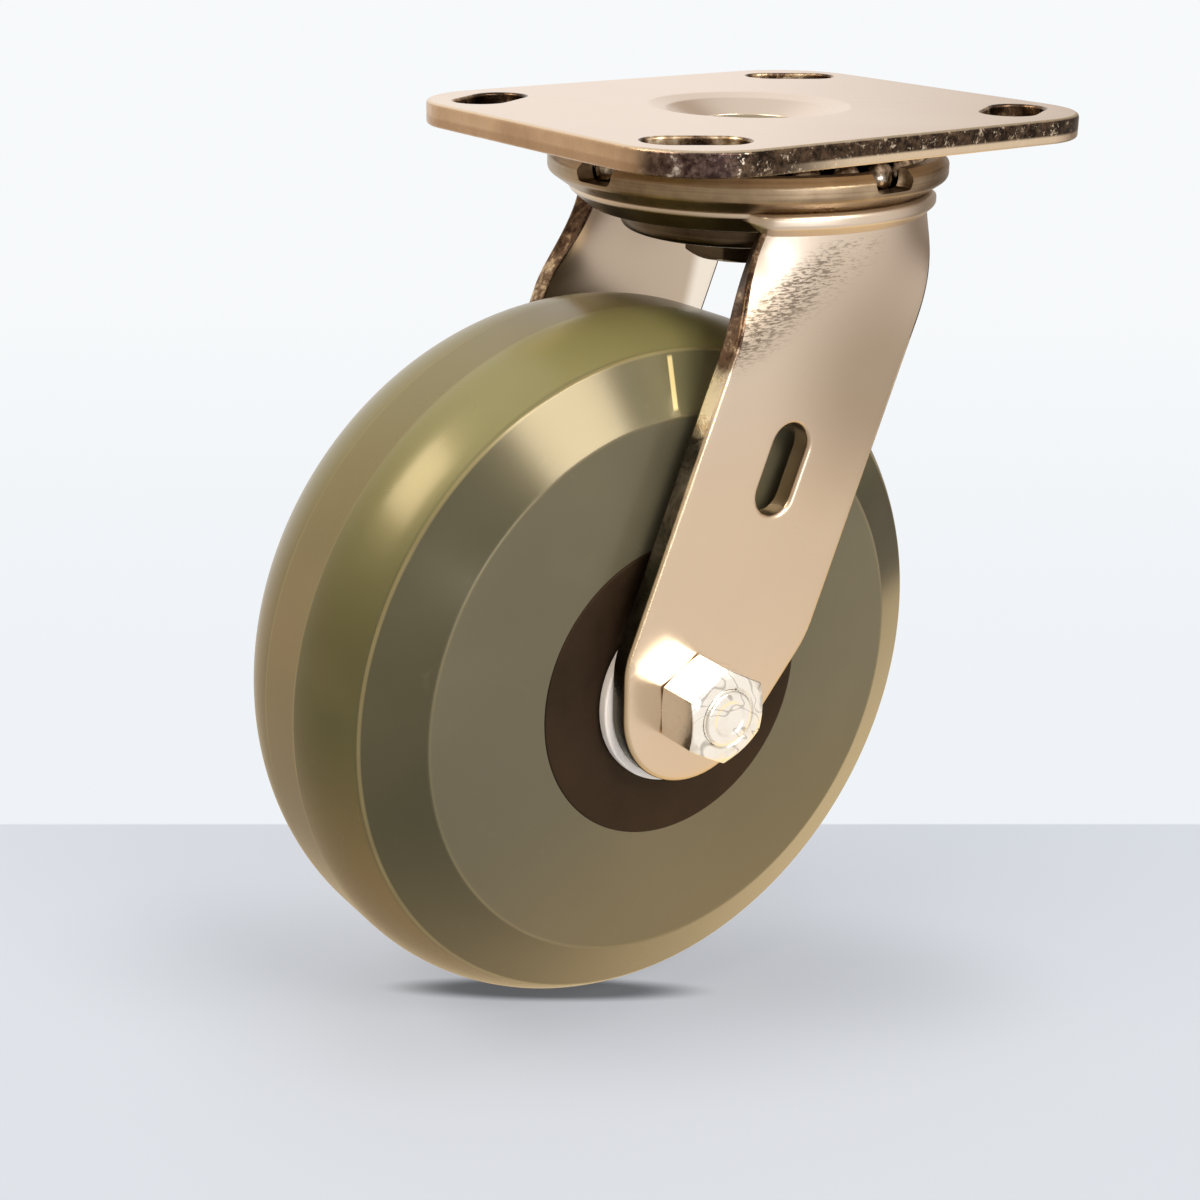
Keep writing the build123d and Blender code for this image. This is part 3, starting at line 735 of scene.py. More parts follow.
# painted shade: a dark copy of the race steel for the lower race and the kingpin nut under the crown
SHADED_LOWER_STEEL = race_steel("shaded_lower_steel", (0.125, 0.092, 0.060), (0.040, 0.028, 0.018), 0.24)
PIN_STEEL = race_steel("kingpin_steel", (0.40, 0.34, 0.19), (0.22, 0.17, 0.09), 0.30)
BALL_STEEL = ball_steel()
FASTENER = fastener_steel()
POLYURETHANE = polyurethane()
HUB_BROWN = moulded(
    "hub_brown", 0.22, 60, 4, ((0.0125, 0.0068, 0.0034), (0.0270, 0.0150, 0.0082)),
    (0.38, 0.52), (1300, 0.2, 0.00012), Specular_Tint=(1.0, 0.72, 0.50, 1.0),
)
WASHER_WHITE = washer_white()
CAGE_PLASTIC = moulded(
    "cage_plastic", 0.4, 150, 3, ((0.025, 0.024, 0.023), (0.055, 0.052, 0.048)),
    (0.42, 0.58), (1100, 0.15, 0.0001),
)


def dress(piece, node, body, slot, *materials, shade=True):
    """Puts a finished piece in a node's place, on its body, with its materials."""
    for m in materials:
        piece.data.materials.append(m)
    if shade:
        weighted(piece)
    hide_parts(node)
    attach(piece, body)


# Top plate

def stadium(a, b, half_width, steps=14):
    """A slot's outline, counterclockwise, round the line from a to b."""
    lean = atan2(b[1] - a[1], b[0] - a[0])
    out = arc(a, half_width, lean + pi / 2, lean + 3 * pi / 2, steps)
    out += arc(b, half_width, lean - pi / 2, lean + pi / 2, steps)
    return out


def rounded_rectangle(half_x, half_y, radius, steps=18):
    out = []
    for k, (sx, sy) in enumerate(((1, 1), (-1, 1), (-1, -1), (1, -1))):
        centre = (sx * (half_x - radius), sy * (half_y - radius))
        out += arc(centre, radius, k * pi / 2, (k + 1) * pi / 2, steps)
    return out


def walls(build, loop, levels, hole, mark):
    """The edge of a sheet: the outline repeated at (inset, level) steps."""
    way = -1 if hole else 1
    rings = [[(px, py, level) for px, py in inset(loop, way * distance)] for distance, level in levels]
    build.rings(rings, mark=mark)


def edge_levels(top, bottom, radius_top, radius_bottom, steps=4):
    """Steps of a sheet's rounded edge from its top face to its bottom face."""
    angles = [pi / 2 * k / steps for k in range(steps + 1)]
    out = [(radius_top * (1 - sin(a)), top - radius_top * (1 - cos(a))) for a in angles]
    return out + [(radius_bottom * (1 - cos(a)), bottom + radius_bottom * (1 - sin(a))) for a in angles]


def sheet(outline, steps, holes, spacing, open_holes=()):
    """A sheet's faces and edges; a hole is (outline, steps, mark), an open one only its outline."""
    build = Build()
    for end in (0, -1):
        cuts = [inset(hole, -levels[end][0]) for hole, levels, _ in holes]
        points, faces = fill(inset(outline, steps[end][0]), cuts + list(open_holes), spacing)
        build.add([(px, py, steps[end][1]) for px, py in points], faces)
    walls(build, outline, steps, False, 1)
    for hole, levels, mark in holes:
        walls(build, hole, levels, True, mark)
    return build


def make_plate():
    outer = spread(rounded_rectangle(*PLATE_HALF, PLATE_CORNER_RADIUS), 6)
    slots = [
        stadium((sx * SLOT_OUTER[0], sy * SLOT_OUTER[1]), (sx * SLOT_INNER, sy * SLOT_INNER), SLOT_HALF_WIDTH)
        for sx in (-1, 1) for sy in (-1, 1)
    ]
    dish_rim, pocket, shank, boss = 23.4, 12.05, 9.6, 15.25
    middle = [(dish_rim * cos(a), dish_rim * sin(a)) for a in turns(RING_SEGMENTS)]
    slot_steps = edge_levels(0, -PLATE_THICKNESS, 0.6, 0.4)
    build = sheet(
        outer, edge_levels(0, -PLATE_THICKNESS, 0.9, 0.6),
        [(slot, slot_steps, 2) for slot in slots], 5.0, [middle],
    )
    section = softened(
        [
            (dish_rim, 0), (21.4, 0), (17.6, -0.9), (pocket, -3.7), (pocket, -7.5), (shank, -7.5),
            (shank, -10.7), (13.75, -10.7), (boss, -9.2), (boss, -5.0), (dish_rim, -5.0),
        ],
        [0, 4.0, 3.0, 0.3, 0.1, 0.2, 0.3, 0.6, 0.6, 0.6, 0],
        closed=False, steps=6,
    )
    turned(section, RING_SEGMENTS, closed=False, build=build)
    return finish_mesh("plate_pressing", build)


dress(make_plate(), "top_plate", "plate", "stainless_steel", PLATE_STEEL, PLATE_EDGE, CUT_EDGE)


# Kingpin and its nut

def hex_outline(across_flats, corner, side_steps=6, arc_steps=4):
    """A hexagon with slightly rounded corners, one of them straight up, counterclockwise."""
    out = []
    reach = (across_flats / 2 - corner) / cos(pi / 6)
    for k in range(6):
        a = pi / 2 + k * pi / 3
        centre = (reach * cos(a), reach * sin(a))
        out += arc(centre, corner, a - pi / 6, a + pi / 6, arc_steps)
    return spread(out, across_flats / sqrt(3) / side_steps)


def hex_body(across_flats, low, high, bore, chamfer_low, chamfer_high, place, dish=0.0):
    """A nut or bolt head: a hexagon with turned cones at its ends and lightly broken corners."""
    outline = hex_outline(across_flats, 0.45)
    cone = across_flats / 2 - 0.15
    slope = tan(radians(30))
    build = Build()

    def circle(radius, level):
        """As many points as the outline has, each in line with its own."""
        return [(px / hypot(px, py) * radius, py / hypot(px, py) * radius, level) for px, py in outline]

    def end(level, sign, chamfered):
        fall = slope if chamfered else 0.55 * slope
        rings = []
        for share, extra in ((0.985, 0.0), (1.0, 0.08)):
            ring = []
            for px, py in outline:
                drop = max(0.0, hypot(px, py) * share - cone) * fall + extra
                ring.append((px * share, py * share, level - sign * drop))
            rings.append(ring)
        flat = circle(cone * 0.975, level)
        inner = circle(bore + 0.5, level - sign * dish)
        mouth = circle(bore, level - sign * (dish + 0.45))
        return [mouth, inner, flat] + rings

    if bore > 0:
        rings = end(low, -1, chamfer_low) + end(high, 1, chamfer_high)[::-1]
        build.rings(rings, closed_across=True)
    else:
        lower = end(low, -1, chamfer_low)[2:]
        upper = end(high, 1, chamfer_high)[2:]
        build.rings(lower + upper[::-1])
        count = len(outline)
        for ring, level in ((lower[0], low), (upper[0], high - dish)):
            build.add(ring + [(0.0, 0.0, level)], [(i, (i + 1) % count, count) for i in range(count)])
    return build.shifted(place)


def onto_axle(p):
    """From a hexagon's own frame to the axle: its top corner goes up, its height along +Y."""
    return (-LEAD - p[0], p[2], AXLE_LEVEL + p[1])


def cylinder_profile(inner, outer, low, high, edge):
    """A tube's section with rounded corners."""
    return softened([(inner, low), (outer, low), (outer, high), (inner, high)], edge, steps=3)


# a solid pin's outline runs from the middle of one end to the middle of the other
kingpin_outline = softened(
    [
        (0.0, -4.0), (7.4, -4.0), (8.6, -3.7), (11.9, -3.7), (11.9, -7.5), (9.5, -7.5), (9.5, -23.92),
        (7.15, -23.92), (7.15, -32.52), (0.0, -32.52),
    ],
    [0, 1.0, 1.0, 0.55, 0.3, 0.3, 0.4, 0.2, 0.9, 0],
    closed=False,
)
kingpin = turned(kingpin_outline, SMALL_SEGMENTS, closed=False)
dress(finish_mesh("kingpin_turned", kingpin), "kingpin", "plate", "fastener_steel", PIN_STEEL)

kingpin_nut = hex_body(22.2, -31.92, -25.92, 7.2, True, False, lambda p: p)
dress(
    finish_mesh("kingpin_nut_hex", kingpin_nut, 24),
    "kingpin_nut", "plate", "fastener_steel", SHADED_LOWER_STEEL,
)


# Ball races

def make_upper_race():
    low = UPPER_BALL_LEVEL - 1.5
    pitch, radius = UPPER_BALL_PITCH, UPPER_GROOVE_RADIUS
    start = pi / 2 - asin((36.0 - pitch) / radius)
    end = pi + asin((UPPER_BALL_LEVEL - low) / radius)
    track = arc((pitch, UPPER_BALL_LEVEL), radius, start, end, 18)
    section = softened([(22.0, low), (22.0, -5.0), (36.0, -5.0)], [0.4, 0.3, 0.3], False, 3) + track
    return finish_mesh("upper_race_ring", turned(section, RING_SEGMENTS))


def make_race_cup():
    """The cup round the load balls, its rim cut by a notch on each quarter."""
    pitch, radius = UPPER_BALL_PITCH, UPPER_GROOVE_RADIUS
    wall = pitch + radius
    floor = UPPER_BALL_LEVEL - 2.9
    rim = UPPER_BALL_LEVEL + 2.1
    low_end = asin(2.9 / radius)
    track = arc((pitch, UPPER_BALL_LEVEL), radius, 0.0, -(pi - low_end), 26)
    outside = softened(
        [(26.0, CROWN_TOP), (38.6, CROWN_TOP), (42.6, -13.5), (42.6, -10.62), (40.92, rim), (wall, rim)],
        [0, 0.7, 1.6, 1.2, 0.7, 0.35],
        closed=False, steps=5,
    )
    section = outside + [(wall, rim), (wall, rim - 0.5)] + track + [(26.0, floor)]
    notch_half, notch_low, notch_round = 5.25, rim - 4.0, 1.6
    notch_radius = 42.0
    reach = asin(notch_half / notch_radius)
    # each column is an angle and, inside a notch, the level that it is cut down to
    columns = []
    for quarter in range(4):
        centre = radians(NOTCH_TURN) + quarter * pi / 2
        columns.append((centre - reach, None))
        for k in range(19):
            s = -1 + 2 * k / 18
            across = abs(s) * notch_half
            over = max(0.0, across - (notch_half - notch_round))
            rise = notch_round - sqrt(max(0.0, notch_round ** 2 - over ** 2))
            columns.append((centre + s * reach, notch_low + rise))
        steps = 36
        for k in range(steps):
            t = reach + (pi / 2 - 2 * reach) * k / steps
            columns.append((centre + t, None))
    build = Build()
    build.rings(
        [
            [upright(r, a, z if top is None or r <= pitch else min(z, top)) for r, z in section]
            for a, top in columns
        ],
        closed_across=True,
    )
    return finish_mesh("race_cup_ring", build, merge=5e-4)


def make_lower_race():
    pitch, radius = LOWER_BALL_PITCH, LOWER_GROOVE_RADIUS
    top, bottom, rim = -23.92, -25.92, CROWN_BOTTOM - 0.8
    reach = asin((LOWER_BALL_LEVEL - top) / radius)
    track = arc((pitch, LOWER_BALL_LEVEL), radius, -reach, -(pi - reach), 14)
    outside = softened(
        [(7.25, bottom), (26.9, bottom), (26.9, rim), (24.9, rim), (24.9, top)],
        [0, 2.0, 0.6, 0.4, 0.6],
        closed=False, steps=6,
    )
    section = outside + track + [(7.25, top)]
    return finish_mesh("lower_race_cup", turned(section, RING_SEGMENTS))


def make_balls(name, radius, pitch, level, count):
    columns, rows = 26, 16
    build = Build()
    for a in turns(count):
        cx, cy = pitch * cos(a), pitch * sin(a)
        rings = []
        for j in range(rows + 1):
            rise = -pi / 2 + pi * j / rows
            r, z = radius * cos(rise), level + radius * sin(rise)
            rings.append([(cx + r * cos(b), cy + r * sin(b), z) for b in turns(columns)])
        build.rings(rings)
    return finish_mesh(name, build, 80)


dress(make_upper_race(), "upper_race", "plate", "race_steel", RACE_STEEL)
dress(make_race_cup(), "race_cup", "fork", "stainless_steel", CUP_STEEL)
dress(make_lower_race(), "lower_race", "plate", "stainless_steel", SHADED_LOWER_STEEL)
dress(
    make_balls("upper_ball_set", UPPER_BALL_RADIUS, UPPER_BALL_PITCH, UPPER_BALL_LEVEL, 26),
    "upper_balls", "upper_ball_row", "ball_steel", BALL_STEEL, shade=False,
)
dress(
    make_balls("lower_ball_set", LOWER_BALL_RADIUS, LOWER_BALL_PITCH, LOWER_BALL_LEVEL, 24),
    "lower_balls", "lower_ball_row", "ball_steel", BALL_STEEL, shade=False,
)


# Fork

def leg_edge(forward, level):
    """Where the raked leg's centreline, shifted forwards, is at a level."""
    return -LEAD + (LEG_FORWARD + forward) / cos(LEG_RAKE) + (level - AXLE_LEVEL) * tan(LEG_RAKE)


def leg_outline(top):
    """The leg's outline as (x, level) points, counterclockwise, smooth but for its hidden top."""
    rear_x = -LEAD - LEG_END_RADIUS
    rear_level = AXLE_LEVEL + (rear_x - leg_edge(-LEG_HALF_WIDTH, AXLE_LEVEL)) / tan(LEG_RAKE)
    touch = (
        -LEAD + LEG_END_RADIUS * cos(LEG_END_TAPER),
        AXLE_LEVEL - LEG_END_RADIUS * sin(LEG_END_TAPER),
    )
    gap = leg_edge(LEG_HALF_WIDTH, touch[1]) - touch[0]
    run = gap / (tan(LEG_END_TAPER) - tan(LEG_RAKE))
    front = (touch[0] + run * tan(LEG_END_TAPER), touch[1] + run)
    rear = softened(
        [(leg_edge(-LEG_HALF_WIDTH, top), top), (rear_x, rear_level), (rear_x, AXLE_LEVEL)],
        [0, 16.0, 0], closed=False, steps=16,
    )
    boss = arc((-LEAD, AXLE_LEVEL), LEG_END_RADIUS, pi, 2 * pi - LEG_END_TAPER, 40)
    fore = softened(
        [touch, front, (leg_edge(LEG_HALF_WIDTH, top), top)], [0, 22.0, 0], closed=False, steps=16
    )
    return spread(rear[:-1] + boss + fore[1:], 1.6)


def eased(share):
    return share * share * (3 - 2 * share)


def wrapped(x, depth, level, side):
    """A point of the flat strip moved to where the press bent it round the crown."""
    t = min(1.0, max(0.0, (LEG_BEND_TOP - level) / LEG_BEND_HEIGHT))
    ease = eased(t)
    outer = LEG_TOP_RADIUS + (LEG_OUTER - LEG_TOP_RADIUS) * ease
    if ease > 0.99999:
        return (x, side * (outer - depth), level)
    bend = LEG_TOP_RADIUS / (1 - ease)
    a = asin(x / bend)
    return ((bend - depth) * sin(a), side * (outer - bend + (bend - depth) * cos(a)), level)


def make_leg(side):
    outline = leg_outline(-18.0)
    slot_level, slot_length, slot_width = -68.6, 19.5, 9.35
    middle = (leg_edge(0, slot_level), slot_level)
    along = Vector((sin(LEG_RAKE), cos(LEG_RAKE))) * (slot_length - slot_width) / 2
    slot = stadium(
        (middle[0] - along.x, middle[1] - along.y), (middle[0] + along.x, middle[1] + along.y),
        slot_width / 2, 16,
    )
    hole = arc((-LEAD, AXLE_LEVEL), 6.1, 0, 2 * pi, 64)[:-1]
    # level 0 is the outer face, which the press rounded over; the slot's rim is rolled inwards
    build = sheet(
        outline, edge_levels(0, -SHEET, 0.9, 0.7, 3),
        [(slot, edge_levels(0, -SHEET, 1.1, 0.4, 4), 0), (hole, edge_levels(0, -SHEET, 0.3, 0.3, 1), 0)], 2.0,
    )
    build.shifted(lambda p: wrapped(p[0], -p[2], p[1], side))
    return finish_mesh("leg", build)


def make_shoulder(side):
    """The rolled band from the crown down into a leg."""
    section = softened(
        [(33.2, CROWN_TOP), (40.4, CROWN_TOP), (40.4, -19.0), (38.3, -21.0), (35.0, -21.0), (33.2, -19.0)],
        [0.3, 1.7, 1.3, 0.5, 0.6, 0.3],
        steps=6,
    )
    low = -20.4
    # where the band runs out, it shrinks to a line inside the crown's rim
    line_radius, line_level = 37.4, -17.8
    rear, fore = [asin(leg_edge(f, low) / LEG_TOP_RADIUS) for f in (-LEG_HALF_WIDTH, LEG_HALF_WIDTH)]
    run_out = asin(4.5 / LEG_TOP_RADIUS)
    first, last = rear - run_out, fore + run_out
    steps = 80
    build = Build()
    rings = []
    for k in range(steps + 1):
        a = first + (last - first) * k / steps
        share = eased(min(1.0, min(a - first, last - a) / (1.5 * run_out)))
        ring = []
        for r, z in section:
            r = min(r, line_radius + (r - line_radius) * share)
            z = max(z, line_level + (z - line_level) * share)
            ring.append((r * sin(a), side * r * cos(a), z))
        rings.append(ring)
    build.rings(rings)
    count = len(section)
    for ring in (rings[0], rings[-1]):
        build.add(ring, [tuple(range(count))])
    return finish_mesh("shoulder", build)


def make_crown():
    pitch, radius = LOWER_BALL_PITCH, LOWER_GROOVE_RADIUS
    reach = asin((LOWER_BALL_LEVEL - CROWN_BOTTOM) / -radius)
    track = arc((pitch, LOWER_BALL_LEVEL), radius, pi - reach, reach, 14)
    section = [(13.0, CROWN_BOTTOM)] + track + softened(
        [(30.0, CROWN_BOTTOM), (33.6, CROWN_BOTTOM), (38.0, -17.4), (38.0, CROWN_TOP), (13.0, CROWN_TOP)],
        [0, 2.2, 0.8, 0.4, 0.3],
        closed=False, steps=6,
    )
    return finish_mesh("crown", turned(section, RING_SEGMENTS))


fork_pieces = [make_leg(-1), make_leg(1), make_shoulder(-1), make_shoulder(1)]
crown = make_crown()
for piece in [crown] + fork_pieces:
    piece.data.materials.append(FORK_STEEL)
    piece.data.materials.append(LEG_EDGE)
fork = joined("fork_pressing", crown, fork_pieces)
dress(fork, "fork", "fork", "stainless_steel")


# Axle

bolt_end, head_low, head_high = -46.8, LEG_OUTER, 43.3
shank_outline = softened(
    [
        (0.0, bolt_end + 0.25), (3.2, bolt_end + 0.25), (3.9, bolt_end), (6.0, bolt_end),
        (6.0, head_low + 1.0), (0.0, head_low + 1.0),
    ],
    [0, 0.5, 0.5, 0.9, 0, 0],
    closed=False,
)
bolt_build = turned(shank_outline, SMALL_SEGMENTS, axled, closed=False)
head = hex_body(18.0, head_low, head_high, 0.0, False, True, onto_axle, dish=0.25)
bolt_build.add(head.points, head.faces)
dress(finish_mesh("axle_bolt_hex", bolt_build, 24), "axle_bolt", "fork", "fastener_steel", FASTENER)

nut = hex_body(18.0, -LEG_OUTER - 10.4, -LEG_OUTER, 6.05, True, False, onto_axle)
dress(finish_mesh("axle_nut_hex", nut, 24), "axle_nut", "fork", "fastener_steel", FASTENER)


def axle_ring(name, *sizes):
    return finish_mesh(name, turned(cylinder_profile(*sizes), SMALL_SEGMENTS, axled))


dress(
    axle_ring("axle_sleeve_tube", 6.1, 9.525, -LEG_INNER, LEG_INNER, 0.4),
    "axle_sleeve", "fork", "race_steel", RACE_STEEL,
)
for node, side in (("thrust_washer_near", -1), ("thrust_washer_far", 1)):
    ends = sorted((side * (HUB_HALF + 0.15), side * LEG_INNER))
    dress(
        axle_ring(node + "_disc", 9.625, 19.5, *ends, 0.5),
        node, "fork", "washer_white", WASHER_WHITE,
    )


# Wheel

def make_tyre():
    flat, tread, shoulder = 6.0, 21.7, 70.4
    rise = WHEEL_RADIUS - shoulder
    across = tread - flat
    round_radius = (across ** 2 + rise ** 2) / (2 * rise)
    end = asin(across / round_radius)
    half = arc((WHEEL_RADIUS - round_radius, flat), round_radius, 0.0, end, 16)
    lip = softened(
        [half[-2], (shoulder, tread), (58.6, TYRE_HALF), (HUB_RADIUS, TYRE_HALF)],
        [0, 1.4, 1.2, 0.25],
        closed=False, steps=5,
    )[1:]
    half = half[:-1] + lip + [(HUB_RADIUS, HUB_KEY[1]), (HUB_KEY[0], HUB_KEY[1])]
    section = half + [(r, -s) for r, s in reversed(half)]
    return finish_mesh("tyre_moulding", turned(section, FINE_SEGMENTS, axled), 40)


def make_hub():
    section = [
        (LINER_RADIUS, HUB_HALF - 0.5), (LINER_RADIUS + 0.5, HUB_HALF), (HUB_RADIUS - 0.6, HUB_HALF),
        (HUB_RADIUS - 0.15, HUB_HALF - 0.18), (HUB_RADIUS, HUB_HALF - 0.5), (HUB_RADIUS, HUB_KEY[1]),
        (HUB_KEY[0], HUB_KEY[1]),
    ]
    section += [(r, -s) for r, s in reversed(section)]
    return finish_mesh("hub_moulding", turned(section, RING_SEGMENTS, axled))


def make_rollers():
    build = Build()
    radius, half = 3.145, 23.0
    profile = softened([(0, -half), (radius, -half), (radius, half), (0, half)], [0, 0.4, 0.4, 0], False, 3)
    for a in turns(ROLLERS):
        cx, cz = -LEAD + ROLLER_PITCH * cos(a), AXLE_LEVEL - ROLLER_PITCH * sin(a)
        build.rings([[(cx + r * cos(b), s, cz + r * sin(b)) for b in turns(32)] for r, s in profile])
    return finish_mesh("roller_set", build, 40)


def make_cage():
    """Two end rings and nine bars, in one skin."""
    half_window, end = 23.12, 25.72
    inner, outer, gap = 11.3, 14.1, 3.295
    build = Build()
    for low, high in ((-end, -half_window), (half_window, end)):
        turned(cylinder_profile(inner, outer, low, high, 0.25), 108, axled, build=build)
    # a bar's section, out along the outer arc and back along the inner one, sunk a little in the rings
    pitch = 2 * pi / ROLLERS
    bar = []
    for radius, reach, marks in (
        (outer - 0.02, asin(gap / outer), range(7)), (inner + 0.02, asin(gap / inner), range(6, -1, -1))
    ):
        bar += [(radius, reach + (pitch - 2 * reach) * k / 6) for k in marks]
    for first in turns(ROLLERS):
        rings = [
            [axled(r, -(first + a), s) for r, a in bar] for s in (-half_window - 0.3, half_window + 0.3)
        ]
        build.rings(rings)
        for ring in rings:
            build.add(ring, [tuple(range(len(bar)))])
    return finish_mesh("cage_moulding", build)


dress(make_tyre(), "tyre", "wheel", "polyurethane", POLYURETHANE)
dress(make_hub(), "hub_core", "wheel", "hub_brown", HUB_BROWN)
dress(
    axle_ring("hub_liner_tube", LINER_BORE, LINER_RADIUS, -27.5, 27.5, 0.3),
    "hub_liner", "wheel", "race_steel", RACE_STEEL,
)
dress(make_rollers(), "bearing_rollers", "axle_bearing", "race_steel", RACE_STEEL)
dress(make_cage(), "roller_cage", "axle_bearing", "cage_plastic", CAGE_PLASTIC)


# Floor, light and camera

FLOOR_LEVEL = -0.1905
FLOOR_HALF = 8.0
FLOOR_COLOUR = (0.52, 0.56, 0.635)
SEAM_HEADING, SEAM_FAR, SEAM_SOFT = (0.5602, 0.8284), 0.0361, 0.0004
BACKDROP_DEPTH = 0.62
CAMERA_HEADING = (0.582, 0.813)
WORLD_LIGHT = 0.46
AIM = (-0.03, 0.0, -0.07)

# The room's walls by compass heading, once round from -X
STUDIO = (
    (0.00, (0.50, 0.42, 0.32)),
    (0.17, (0.74, 0.66, 0.56)),
    (0.25, (0.98, 0.91, 0.83)),
    (0.335, (0.96, 0.88, 0.79)),
    (0.375, (0.91, 0.83, 0.72)),
    (0.41, (0.80, 0.72, 0.64)),
    (0.44, (0.68, 0.60, 0.53)),
    (0.47, (0.38, 0.32, 0.27)),
    (0.50, (0.24, 0.19, 0.15)),
    (0.60, (0.52, 0.45, 0.38)),
    (0.64, (1.00, 0.95, 0.91)),
    (0.70, (1.00, 0.97, 0.94)),
    (0.78, (1.02, 0.96, 0.87)),
    (0.84, (0.82, 0.69, 0.53)),
    (0.90, (0.58, 0.48, 0.36)),
    (1.00, (0.50, 0.42, 0.32)),
)


def studio_tone(p):
    """What bare metal sees round the room: pale walls, with a dark opening ahead of the castor."""
    x, y, _ = p.axes()
    return p.ramp(p.span(p.math("ARCTAN2", y, x), -pi, pi, smooth=False), *STUDIO)


def at_wheel(p, fork):
    """The place seen from under the wheel, wherever the swivel has taken it: ahead of it and aside."""
    with_fork = p.node("TexCoord")
    with_fork.object = fork
    here = p.axes()[:2]
    in_fork = p.split(with_fork.outputs["Object"])[:2]
    # the swivel's turn shows in where the same point lies in the room and in the fork's own frame
    squared = p.dot(here, here)
    turn = p.dot(here, in_fork), p.cross(in_fork, here)
    along = [
        p.plus(own, p.times(p.math("DIVIDE", part, squared), LEAD * MM)) for own, part in zip(here, turn)
    ]
    return p.dot(along, CAMERA_HEADING), p.cross(along, CAMERA_HEADING)


def make_floor(fork):
    """A pale floor whose far part is the plain backdrop's colour, beyond a straight seam."""
    mesh = bpy.data.meshes.new("floor")
    corners = [(i * FLOOR_HALF, j * FLOOR_HALF, FLOOR_LEVEL) for i, j in ((-1, -1), (1, -1), (1, 1), (-1, 1))]
    mesh.from_pydata(corners, [], [(0, 1, 2, 3)])
    floor = placed("floor", mesh)
    p = Paint("floor_paint", Specular_IOR_Level=0.0)
    past = p.dot(p.axes(), SEAM_HEADING)
    far = p.span(past, SEAM_FAR - SEAM_SOFT, SEAM_FAR + SEAM_SOFT, smooth=False)
    rise = p.span(past, SEAM_FAR, SEAM_FAR + BACKDROP_DEPTH)
    beyond = p.emitter("Emission", p.mix(rise, (0.860, 0.895, 0.930), (0.930, 0.950, 0.965)))
    # painted reflection: in reflections the floor glows golden round the wheel, brighter than white, fading
    # farther away
    past_golden_glow = p.span(p.far_from(0.09, 0.06, FLOOR_LEVEL), 0.15, 0.21)
    mirrored = p.emitter("Emission", p.mix(past_golden_glow, (1.20, 0.92, 0.54), studio_tone(p)))
    ahead, aside = at_wheel(p, fork)

    def pool(u, v, half_u, half_v, core, rim):
        """1 within a soft ellipse's core, 0 past its rim."""
        a = p.math("DIVIDE", p.less(ahead, u), half_u)
        b = p.math("DIVIDE", p.less(aside, v), half_v)
        return p.span(p.math("SQRT", p.dot((a, b), (a, b))), rim, core)

    # painted shadows: the even share dims in soft pools that go where the wheel goes, and where it is close
    # overhead
    cover = p.node("AmbientOcclusion")
    cover.samples = 24
    cover.inputs["Distance"].default_value = 0.022
    close = p.span(cover.outputs["AO"], 0.86, 0.56)
    touch = p.times(close, pool(-0.0180, -0.0100, 0.0048, 0.0350, 0.55, 1.15))
    wide = pool(-0.018, -0.004, 0.050, 0.120, 0.10, 1.0)
    lobe = pool(-0.012, 0.060, 0.032, 0.056, 0.10, 1.0)
    trail = pool(-0.004, -0.078, 0.040, 0.060, 0.10, 1.0)
    dim = p.times(p.rest(wide, 0.19), p.rest(lobe, 0.14), p.rest(trail, 0.12), p.rest(touch, 0.75))
    even = p.emitter("Emission", p.mix(dim, (0.0, 0.0, 0.0), (0.730, 0.753, 0.807)))
    # painted contact shadow: the floor's own colour darkens where the wheel touches
    p.finish(p.over(p.mix(far, FLOOR_COLOUR, (0.86, 0.90, 0.93)), (0.06, 0.06, 0.065), touch, 0.7), 0.9)
    seen = p.node("LightPath").outputs
    near = p.blend(p.times(seen["Is Camera Ray"], 0.66), p.shader.outputs[0], even)
    shown = p.blend(p.times(seen["Is Camera Ray"], far), near, beyond)
    shown = p.blend(seen["Is Glossy Ray"], shown, mirrored)
    p.link(shown, p.tree.nodes["Material Output"].inputs["Surface"])
    floor.data.materials.append(p.material)


class Sky(Paint):
    """The same node helpers for the world."""

    def __init__(self, tree):
        self.tree = tree
        self.place = self.node("TexCoord").outputs["Generated"]


def make_world():
    """Pale backdrop for the camera, the studio's walls for reflections, a plain light for the rest."""
    world = bpy.data.worlds.new("studio")
    bpy.context.scene.world = world
    world.use_nodes = True
    p = Sky(world.node_tree)
    plain = p.tree.nodes["Background"]
    plain.inputs["Color"].default_value = (0.95, 0.97, 1.0, 1)
    plain.inputs["Strength"].default_value = WORLD_LIGHT
    height = p.axes()[2]
    wall = p.emitter("Background", p.ramp(height, (0.0, (0.90, 0.925, 0.945)), (0.6, (0.94, 0.95, 0.96))))
    overhead = p.span(height, 0.55, 0.90)
    room = p.emitter("Background", p.mix(overhead, studio_tone(p), (0.80, 0.77, 0.73)))
    seen = p.node("LightPath").outputs
    mirrored = p.math("MAXIMUM", seen["Is Glossy Ray"], seen["Is Transmission Ray"])
    shown = p.blend(seen["Is Camera Ray"], plain.outputs[0], wall)
    shown = p.blend(mirrored, shown, room)
    p.link(shown, p.tree.nodes["World Output"].inputs["Surface"])


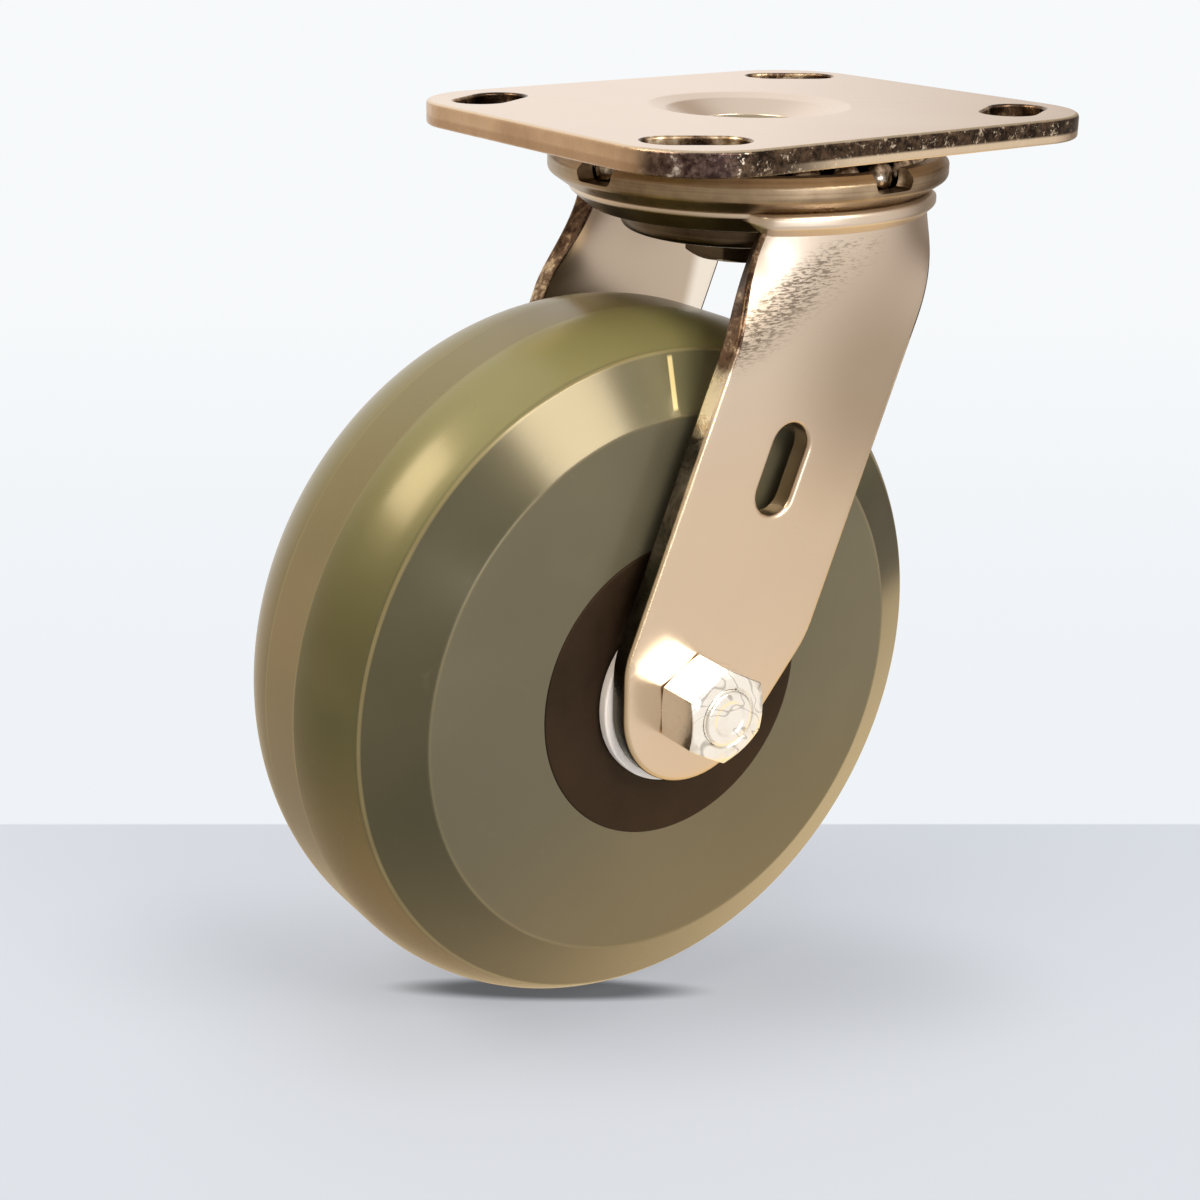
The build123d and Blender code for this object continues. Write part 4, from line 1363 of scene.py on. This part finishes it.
def softbox(name, heading, rise, reach, size, watts, colour):
    """A lamp towards AIM, by its compass heading from +X, its height above the horizon and its distance."""
    h, e = radians(heading), radians(rise)
    place = (
        AIM[0] + reach * cos(e) * cos(h), AIM[1] + reach * cos(e) * sin(h), AIM[2] + reach * sin(e)
    )
    lamp = bpy.data.lights.new(name, "AREA")
    lamp.shape = "RECTANGLE"
    lamp.size, lamp.size_y = size
    lamp.energy = watts
    lamp.color = colour
    holder = placed(name, lamp)
    holder.location = place
    holder.rotation_mode = "QUATERNION"
    holder.rotation_quaternion = (Vector(AIM) - Vector(place)).to_track_quat("-Z", "Y")
    return holder


def make_camera():
    """The camera of the photograph's own view; lengths are in metres."""
    azimuth, elevation, roll = radians(-35.469), radians(18.169), radians(0.685)
    distance, aside, above = 0.401262, 0.031463, 0.077486
    focal_pixels, frame_pixels, sensor = 1897.632, 1200, 36.0
    back = Vector((sin(azimuth) * cos(elevation), -cos(azimuth) * cos(elevation), sin(elevation)))
    right = Vector((cos(azimuth), sin(azimuth), 0))
    up = back.cross(right)
    across = right * cos(roll) + up * sin(roll)
    upward = up * cos(roll) - right * sin(roll)
    data = bpy.data.cameras.new("photo_camera")
    data.sensor_width = sensor
    data.lens = focal_pixels / frame_pixels * sensor
    data.shift_y = -0.108
    data.clip_start = 0.01
    camera = placed("photo_camera", data)
    turn = Matrix((across, upward, back)).transposed().to_4x4()
    place = back * distance - across * aside - upward * above
    camera.matrix_world = Matrix.Translation(place) @ turn
    bpy.context.scene.camera = camera


make_floor(fork)
make_world()
make_camera()
softbox("key", -76, 31, 2.2, (0.82, 0.68), 20.0, (1.0, 0.92, 0.76))
softbox("spark", -93, 43, 2.2, (0.46, 0.40), 9.0, (1.0, 0.95, 0.85))
softbox("low", -92, 3, 2.2, (1.30, 0.55), 7.5, (0.96, 0.97, 1.0))
softbox("rim", 172, 49, 2.2, (1.35, 0.85), 30.0, (1.0, 0.86, 0.63))
top = softbox("top", 60, 82, 2.6, (1.8, 1.8), 27.0, (0.90, 0.95, 1.0))
top.visible_glossy = False

bpy.context.scene.view_settings.view_transform = "Standard"
